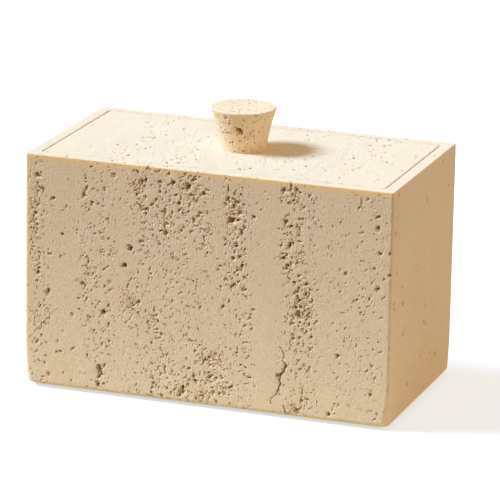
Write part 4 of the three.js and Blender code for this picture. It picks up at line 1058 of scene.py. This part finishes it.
# Tans of the pits' stains, also painted as shade on the seam's walls
TAN_STAIN_AND_SHADE_COLORS = linear(206, 178, 136), linear(190, 152, 100)
# Dark brown of the pits' floors: partly stains, partly painted shade
PIT_STAIN_AND_SHADE_COLOR = linear(76, 52, 30)
# Dark brown of the small pores, holes that are only bumps: partly stains, partly painted shade
PORE_STAIN_AND_SHADE_COLOR = linear(104, 72, 40)

# The direction, seen from the front, of the pale rims painted on the pores as highlights, away from the
# light
LOWER_RIGHT = (0.8, 0.0, -0.6)

# How porous the stone's upright layers are: share of the width from the left, size of the pores
LAYERS = [
    (0.01, 0.55), (0.03, 1), (0.055, 0.9), (0.08, 0.4), (0.13, 0.4), (0.17, 0.8), (0.24, 0.8), (0.27, 0.5),
    (0.31, 1), (0.5, 1), (0.53, 0.45), (0.56, 1), (0.61, 1), (0.64, 0.4), (0.69, 0.4), (0.72, 1),
    (0.785, 1), (0.82, 0.45), (0.9, 0.6), (0.97, 0.6), (1, 0.4),
]


def painted_edge_glow(nodes):
    """How strongly a glow, painted as of light coming through the stone, lies near the box's outer edges:
    top, base and left.
    """
    x, y, z = nodes.axes(nodes.place(1.0, 1.0, 1.0))
    half_x, half_y = WIDTH_MM / 2, DEPTH_MM / 2
    top = nodes.span(z, RIM_TOP_MM - 3.0, RIM_TOP_MM - 0.3)
    base = nodes.span(z, BASE_MM + 0.2, BASE_MM + 1.6, 0.6, 0.0)
    left = nodes.span(x, 0.2 - half_x, 2.0 - half_x, 0.8, 0.0)
    glow = nodes.math("MAXIMUM", nodes.math("MAXIMUM", top, base), left)
    out_x = nodes.span(nodes.math("ABSOLUTE", x), half_x - 1.6, half_x - 1.3)
    out_y = nodes.span(nodes.math("ABSOLUTE", y), half_y - 1.6, half_y - 1.3)
    outside = nodes.math("MAXIMUM", nodes.math("MULTIPLY", out_x, 0.4), out_y)
    outside = nodes.math("MULTIPLY", outside, nodes.span(z, RIM_TOP_MM - 0.2, RIM_TOP_MM - 0.05, 1.0, 0.0))
    return nodes.math("MULTIPLY", glow, outside)


def pores(nodes, layered):
    """Small ragged pores, larger and closer in the porous layers.

    Returns how hollow the stone is, how deep its surface dips and how strongly the pores' lower right
    rims are painted pale as a highlight, each from 0 to 1.
    """
    cells = nodes.add("ShaderNodeTexVoronoi")
    moved = nodes.vector("MULTIPLY_ADD", nodes.noise((1.1, 1.1, 1.1), output="Color"), (1.3, 1.3, 1.3),
                         nodes.place(1.25, 1.25, 0.95))
    nodes.feed(cells.inputs["Vector"], moved)
    nodes.feed(cells.inputs["Scale"], 1.0)
    size = nodes.span(nodes.axes(cells.outputs["Color"])["X"], 0.4, 1.0, 0.0, 0.36)
    if layered:
        across = nodes.axes(nodes.place(1 / WIDTH_MM, 1 / WIDTH_MM, 1.0))
        greys = [(share, (openness,) * 3) for share, openness in LAYERS]
        layer = nodes.ramp(nodes.math("ADD", across["X"], 0.5), greys)
        on_top = nodes.span(across["Z"], RIM_TOP_MM - 1.0, RIM_TOP_MM - 0.5, 1.0, 0.6)
        size = nodes.math("MULTIPLY", nodes.math("MULTIPLY", size, layer), on_top)
    else:
        size = nodes.math("MULTIPLY", size, 0.7)
    inside = nodes.math("SUBTRACT", size, cells.outputs["Distance"])
    unit = nodes.vector("NORMALIZE", nodes.vector("SUBTRACT", moved, cells.outputs["Position"]))
    low_right = nodes.span(nodes.vector("DOT_PRODUCT", unit, LOWER_RIGHT), -0.1, 0.6)
    ring = nodes.math("MULTIPLY", nodes.span(inside, -0.42, -0.2), nodes.span(inside, -0.06, 0.0, 1.0, 0.0))
    open_enough = nodes.span(size, 0.1, 0.2)
    # The lower-right rims, to be painted paler as a highlight
    worn = nodes.math("MULTIPLY", nodes.math("MULTIPLY", ring, low_right), open_enough)
    dip = nodes.math("MULTIPLY", nodes.span(inside, -0.3, 0.06), open_enough)
    return nodes.math("DIVIDE", inside, 0.08, clamp=True), dip, worn


def stone_material(name, pale, middle, deep, layered=True):
    """Travertine: three tones from pale to deep, in faint upright bands, with stained pits and pores,
    painted shade and highlights in and round them, and a painted glow near the edges where layered.
    """
    material, nodes = material_nodes(name)
    strata = nodes.noise((0.16, 0.02, 0.03), detail=4, rough=0.6)
    clouds = nodes.noise((0.05, 0.05, 0.05), detail=3, rough=0.55)
    grain = nodes.noise((1.9, 1.9, 1.5), rough=0.6)
    base = nodes.ramp(strata, [(0.25, middle), (0.75, pale)])
    base = nodes.mix(nodes.span(clouds, 0.35, 0.7, 0.0, 0.4), base, middle)
    base = nodes.mix(nodes.span(grain, 0.4, 0.65, 0.0, 0.55), base, deep)
    if layered:
        # Painted light: a pale warm glow near the box's top, base and left edges
        base = nodes.mix(painted_edge_glow(nodes), base, PAINTED_GLOW_COLOR)
    stain_and_painted_light = nodes.add("ShaderNodeAttribute", attribute_name="stain_and_painted_light").outputs["Fac"]
    tan = nodes.mix(nodes.span(nodes.noise((0.35, 0.35, 0.35)), 0.35, 0.65), *TAN_STAIN_AND_SHADE_COLORS)
    # Painted highlight: the pits' worn lower-right rims paler
    base = nodes.mix(nodes.span(stain_and_painted_light, -0.9, -0.2, 0.8, 0.0), base, PAINTED_RIM_HIGHLIGHT)
    # Tan of the pits' stains, and the seam's painted shade
    base = nodes.mix(nodes.span(stain_and_painted_light, 0.05, 0.4, 0.0, 0.75), base, tan)
    # Dark floors of the pits: partly stains, partly painted shade
    base = nodes.mix(nodes.span(stain_and_painted_light, 0.3, 0.8, 0.0, 0.92), base, PIT_STAIN_AND_SHADE_COLOR)
    hollow, dip, worn = pores(nodes, layered)
    # Painted highlight: the pores' lower-right rims paler
    base = nodes.mix(nodes.math("MULTIPLY", worn, 0.7), base, PAINTED_RIM_HIGHLIGHT)
    # Painted shade, partly stains: the pores darker inside
    base = nodes.mix(nodes.math("MULTIPLY", hollow, 0.85), base, PORE_STAIN_AND_SHADE_COLOR)
    rough = nodes.bump(nodes.noise((2.3, 2.3, 1.7)), 0.24, 0.9)
    nodes.shade(Base_Color=base, Roughness=nodes.span(grain, 0.2, 0.8, 0.72, 0.92), Specular_IOR_Level=0.3,
                Normal=nodes.bump(nodes.math("MULTIPLY", dip, -1.0), 0.28, 1.0, rough))
    return material


def metal_material(name, color, roughness, scratch_scale):
    material, nodes = material_nodes(name)
    scratches = nodes.noise(scratch_scale, detail=3, rough=0.6)
    tone = nodes.mix(nodes.span(scratches, 0.3, 0.7, 0.0, 0.5), color, tuple(0.72 * part for part in color))
    nodes.shade(Base_Color=tone, Metallic=1.0, Normal=nodes.bump(scratches, 0.02, 0.5),
                Roughness=nodes.span(scratches, 0.2, 0.8, roughness - 0.08, roughness + 0.12))
    return material


def pad_material():
    material, nodes = material_nodes("silicone")
    clouds = nodes.noise((0.6, 0.6, 0.6), detail=3)
    tone = nodes.mix(nodes.span(clouds, 0.3, 0.7), linear(228, 224, 214), linear(214, 208, 196))
    nodes.shade(Base_Color=tone, Roughness=nodes.span(clouds, 0.2, 0.8, 0.5, 0.68),
                Normal=nodes.bump(nodes.noise((3.0, 3.0, 3.0)), 0.02, 0.5))
    return material


def assign(thing, material):
    thing.data.materials.clear()
    thing.data.materials.append(material)


stone = stone_material("travertine", linear(242, 230, 208), linear(236, 221, 196), linear(224, 206, 178))
# Painted light: the knob's stone is a paler, warmer copy, standing in for the sun on its left and warm
# bounce light from the lid
knob_stone_painted_light = stone_material("travertine_knob_painted_light", linear(246, 231, 202), linear(238, 219, 190),
                            linear(228, 204, 170), layered=False)
assign(body, stone)
assign(lid, stone)
assign(knob, knob_stone_painted_light)
steel = metal_material("steel", (0.62, 0.62, 0.63), 0.34, (2.0, 2.0, 0.4))
brass = metal_material("brass", (0.68, 0.47, 0.17), 0.36, (1.6, 1.6, 0.5))
silicone = pad_material()

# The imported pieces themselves; the small parts are shown as they are
hardware = {"knob_screw": steel, "screw_washer": steel, "knob_insert": brass}
for node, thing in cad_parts.items():
    assign(thing, silicone if node.startswith("foot_pad") else hardware.get(node, stone))


# Camera, fitted to the corners and the outlines of the box in the photograph
FOCAL_PIXELS = 3905.0
IMAGE_PIXELS = 500.0
SENSOR_MM = 36.0
YAW, PITCH, ROLL = (math.radians(angle) for angle in (-19.25, 16.06, 1.07))
DISTANCE_MM = 1283.9
SIDEWAYS_MM, UPWARD_MM = -3.01, -4.21

forward = Vector((math.sin(YAW) * math.cos(PITCH), math.cos(YAW) * math.cos(PITCH), -math.sin(PITCH)))
level = Vector((math.cos(YAW), -math.sin(YAW), 0.0))
rise = level.cross(forward)
right = math.cos(ROLL) * level + math.sin(ROLL) * rise
upward = -math.sin(ROLL) * level + math.cos(ROLL) * rise
body_middle = Vector((0.0, 0.0, (BASE_MM + HEIGHT_MM / 2) * MM))
camera_data = bpy.data.cameras.new("camera")
camera_data.sensor_width = SENSOR_MM
camera_data.lens = SENSOR_MM * FOCAL_PIXELS / IMAGE_PIXELS
camera_data.clip_start, camera_data.clip_end = 0.05, 20.0
camera = new_object("camera", camera_data)
camera.matrix_world = Matrix((
    (right.x, upward.x, -forward.x, 0), (right.y, upward.y, -forward.y, 0),
    (right.z, upward.z, -forward.z, 0), (0, 0, 0, 1)))
camera.location = body_middle - (DISTANCE_MM * forward + SIDEWAYS_MM * right + UPWARD_MM * upward) * MM
bpy.context.scene.camera = camera


# Floor, lights and surroundings; angles in degrees
FLOOR_REACH = 6.0
FLOOR_NEAR = (0.6, 0.56, 0.4)
FLOOR_FAR = (0.16, 0.15, 0.11)
FLOOR_FADE = (0.07, 0.24)
FLOOR_SEEN = (0.47, 0.56, 0.68)
FLOOR_GLOW = 0.62
ZENITH_COLOR = (0.34, 0.38, 0.35)
HORIZON_COLOR = (0.76, 0.35, 0.02)
ZENITH_FROM = (0.25, 0.95)
KEY_COLOR = (0.596, 0.766, 1.0)
KEY_STRENGTH = 5.0
KEY_HEIGHT = 43
KEY_SWING = 14
KEY_WIDTH = 21
FILL_COLOR = (0.97, 0.94, 0.88)
FILL_POWER = 2.75
FILL_PLACE, FILL_TARGET, FILL_SIZE = (1.0, 0.4, 0.22), (0, 0, 0.04), 0.8


def white_floor():
    """A pale floor that keeps the object's shadow and looks white from the camera."""
    mesh = bpy.data.meshes.new("floor")
    corners = [(x * FLOOR_REACH, y * FLOOR_REACH, 0) for x, y in ((-1, -1), (1, -1), (1, 1), (-1, 1))]
    mesh.from_pydata(corners, [], [(0, 1, 2, 3)])
    floor = new_object("floor", mesh)
    material, nodes = material_nodes("floor_white")
    seen = nodes.looked_at()
    away = nodes.vector("LENGTH", nodes.add("ShaderNodeTexCoord").outputs["Object"])
    bounce = nodes.mix(nodes.span(away, *FLOOR_FADE), FLOOR_NEAR, FLOOR_FAR)
    nodes.shade(Base_Color=nodes.mix(seen, bounce, FLOOR_SEEN), Roughness=1.0, Specular_IOR_Level=0.0,
                Emission_Color=(1.0, 1.0, 1.0), Emission_Strength=nodes.math("MULTIPLY", seen, FLOOR_GLOW))
    assign(floor, material)


def sky():
    """Soft light from above, fading towards the horizon, seen as plain white."""
    world = bpy.data.worlds.new("surroundings")
    bpy.context.scene.world = world
    world.use_nodes = True
    world.node_tree.nodes.clear()
    nodes = Nodes(world.node_tree)
    direction = nodes.axes(nodes.add("ShaderNodeTexCoord").outputs["Generated"])
    light = nodes.mix(nodes.span(direction["Z"], *ZENITH_FROM), HORIZON_COLOR, ZENITH_COLOR)
    background = nodes.add("ShaderNodeBackground")
    nodes.feed(background.inputs["Color"], nodes.mix(nodes.looked_at(), light, (1.0, 1.0, 1.0)))
    nodes.feed(nodes.add("ShaderNodeOutputWorld").inputs["Surface"], background.outputs[0])


def lamp(name, kind, color, power, place, target):
    data = bpy.data.lights.new(name, kind)
    data.color, data.energy = color, power
    light = new_object(name, data)
    light.location = place
    light.rotation_mode = "QUATERNION"
    light.rotation_quaternion = (Vector(target) - Vector(place)).to_track_quat("-Z", "Y")
    return data


def key_light():
    """A wide sun from high on the left, a little to the front."""
    height, swing = math.radians(KEY_HEIGHT), math.radians(KEY_SWING)
    back = (-math.cos(height) * math.cos(swing), -math.cos(height) * math.sin(swing), math.sin(height))
    data = lamp("key", "SUN", KEY_COLOR, KEY_STRENGTH, back, (0, 0, 0))
    data.angle = math.radians(KEY_WIDTH)


def fill_light():
    """A faint warm light from the right, a little behind."""
    data = lamp("warm_fill", "AREA", FILL_COLOR, FILL_POWER, FILL_PLACE, FILL_TARGET)
    data.shape = "RECTANGLE"
    data.size = data.size_y = FILL_SIZE


white_floor()
sky()
key_light()
fill_light()

bpy.context.scene.view_settings.view_transform = "Standard"
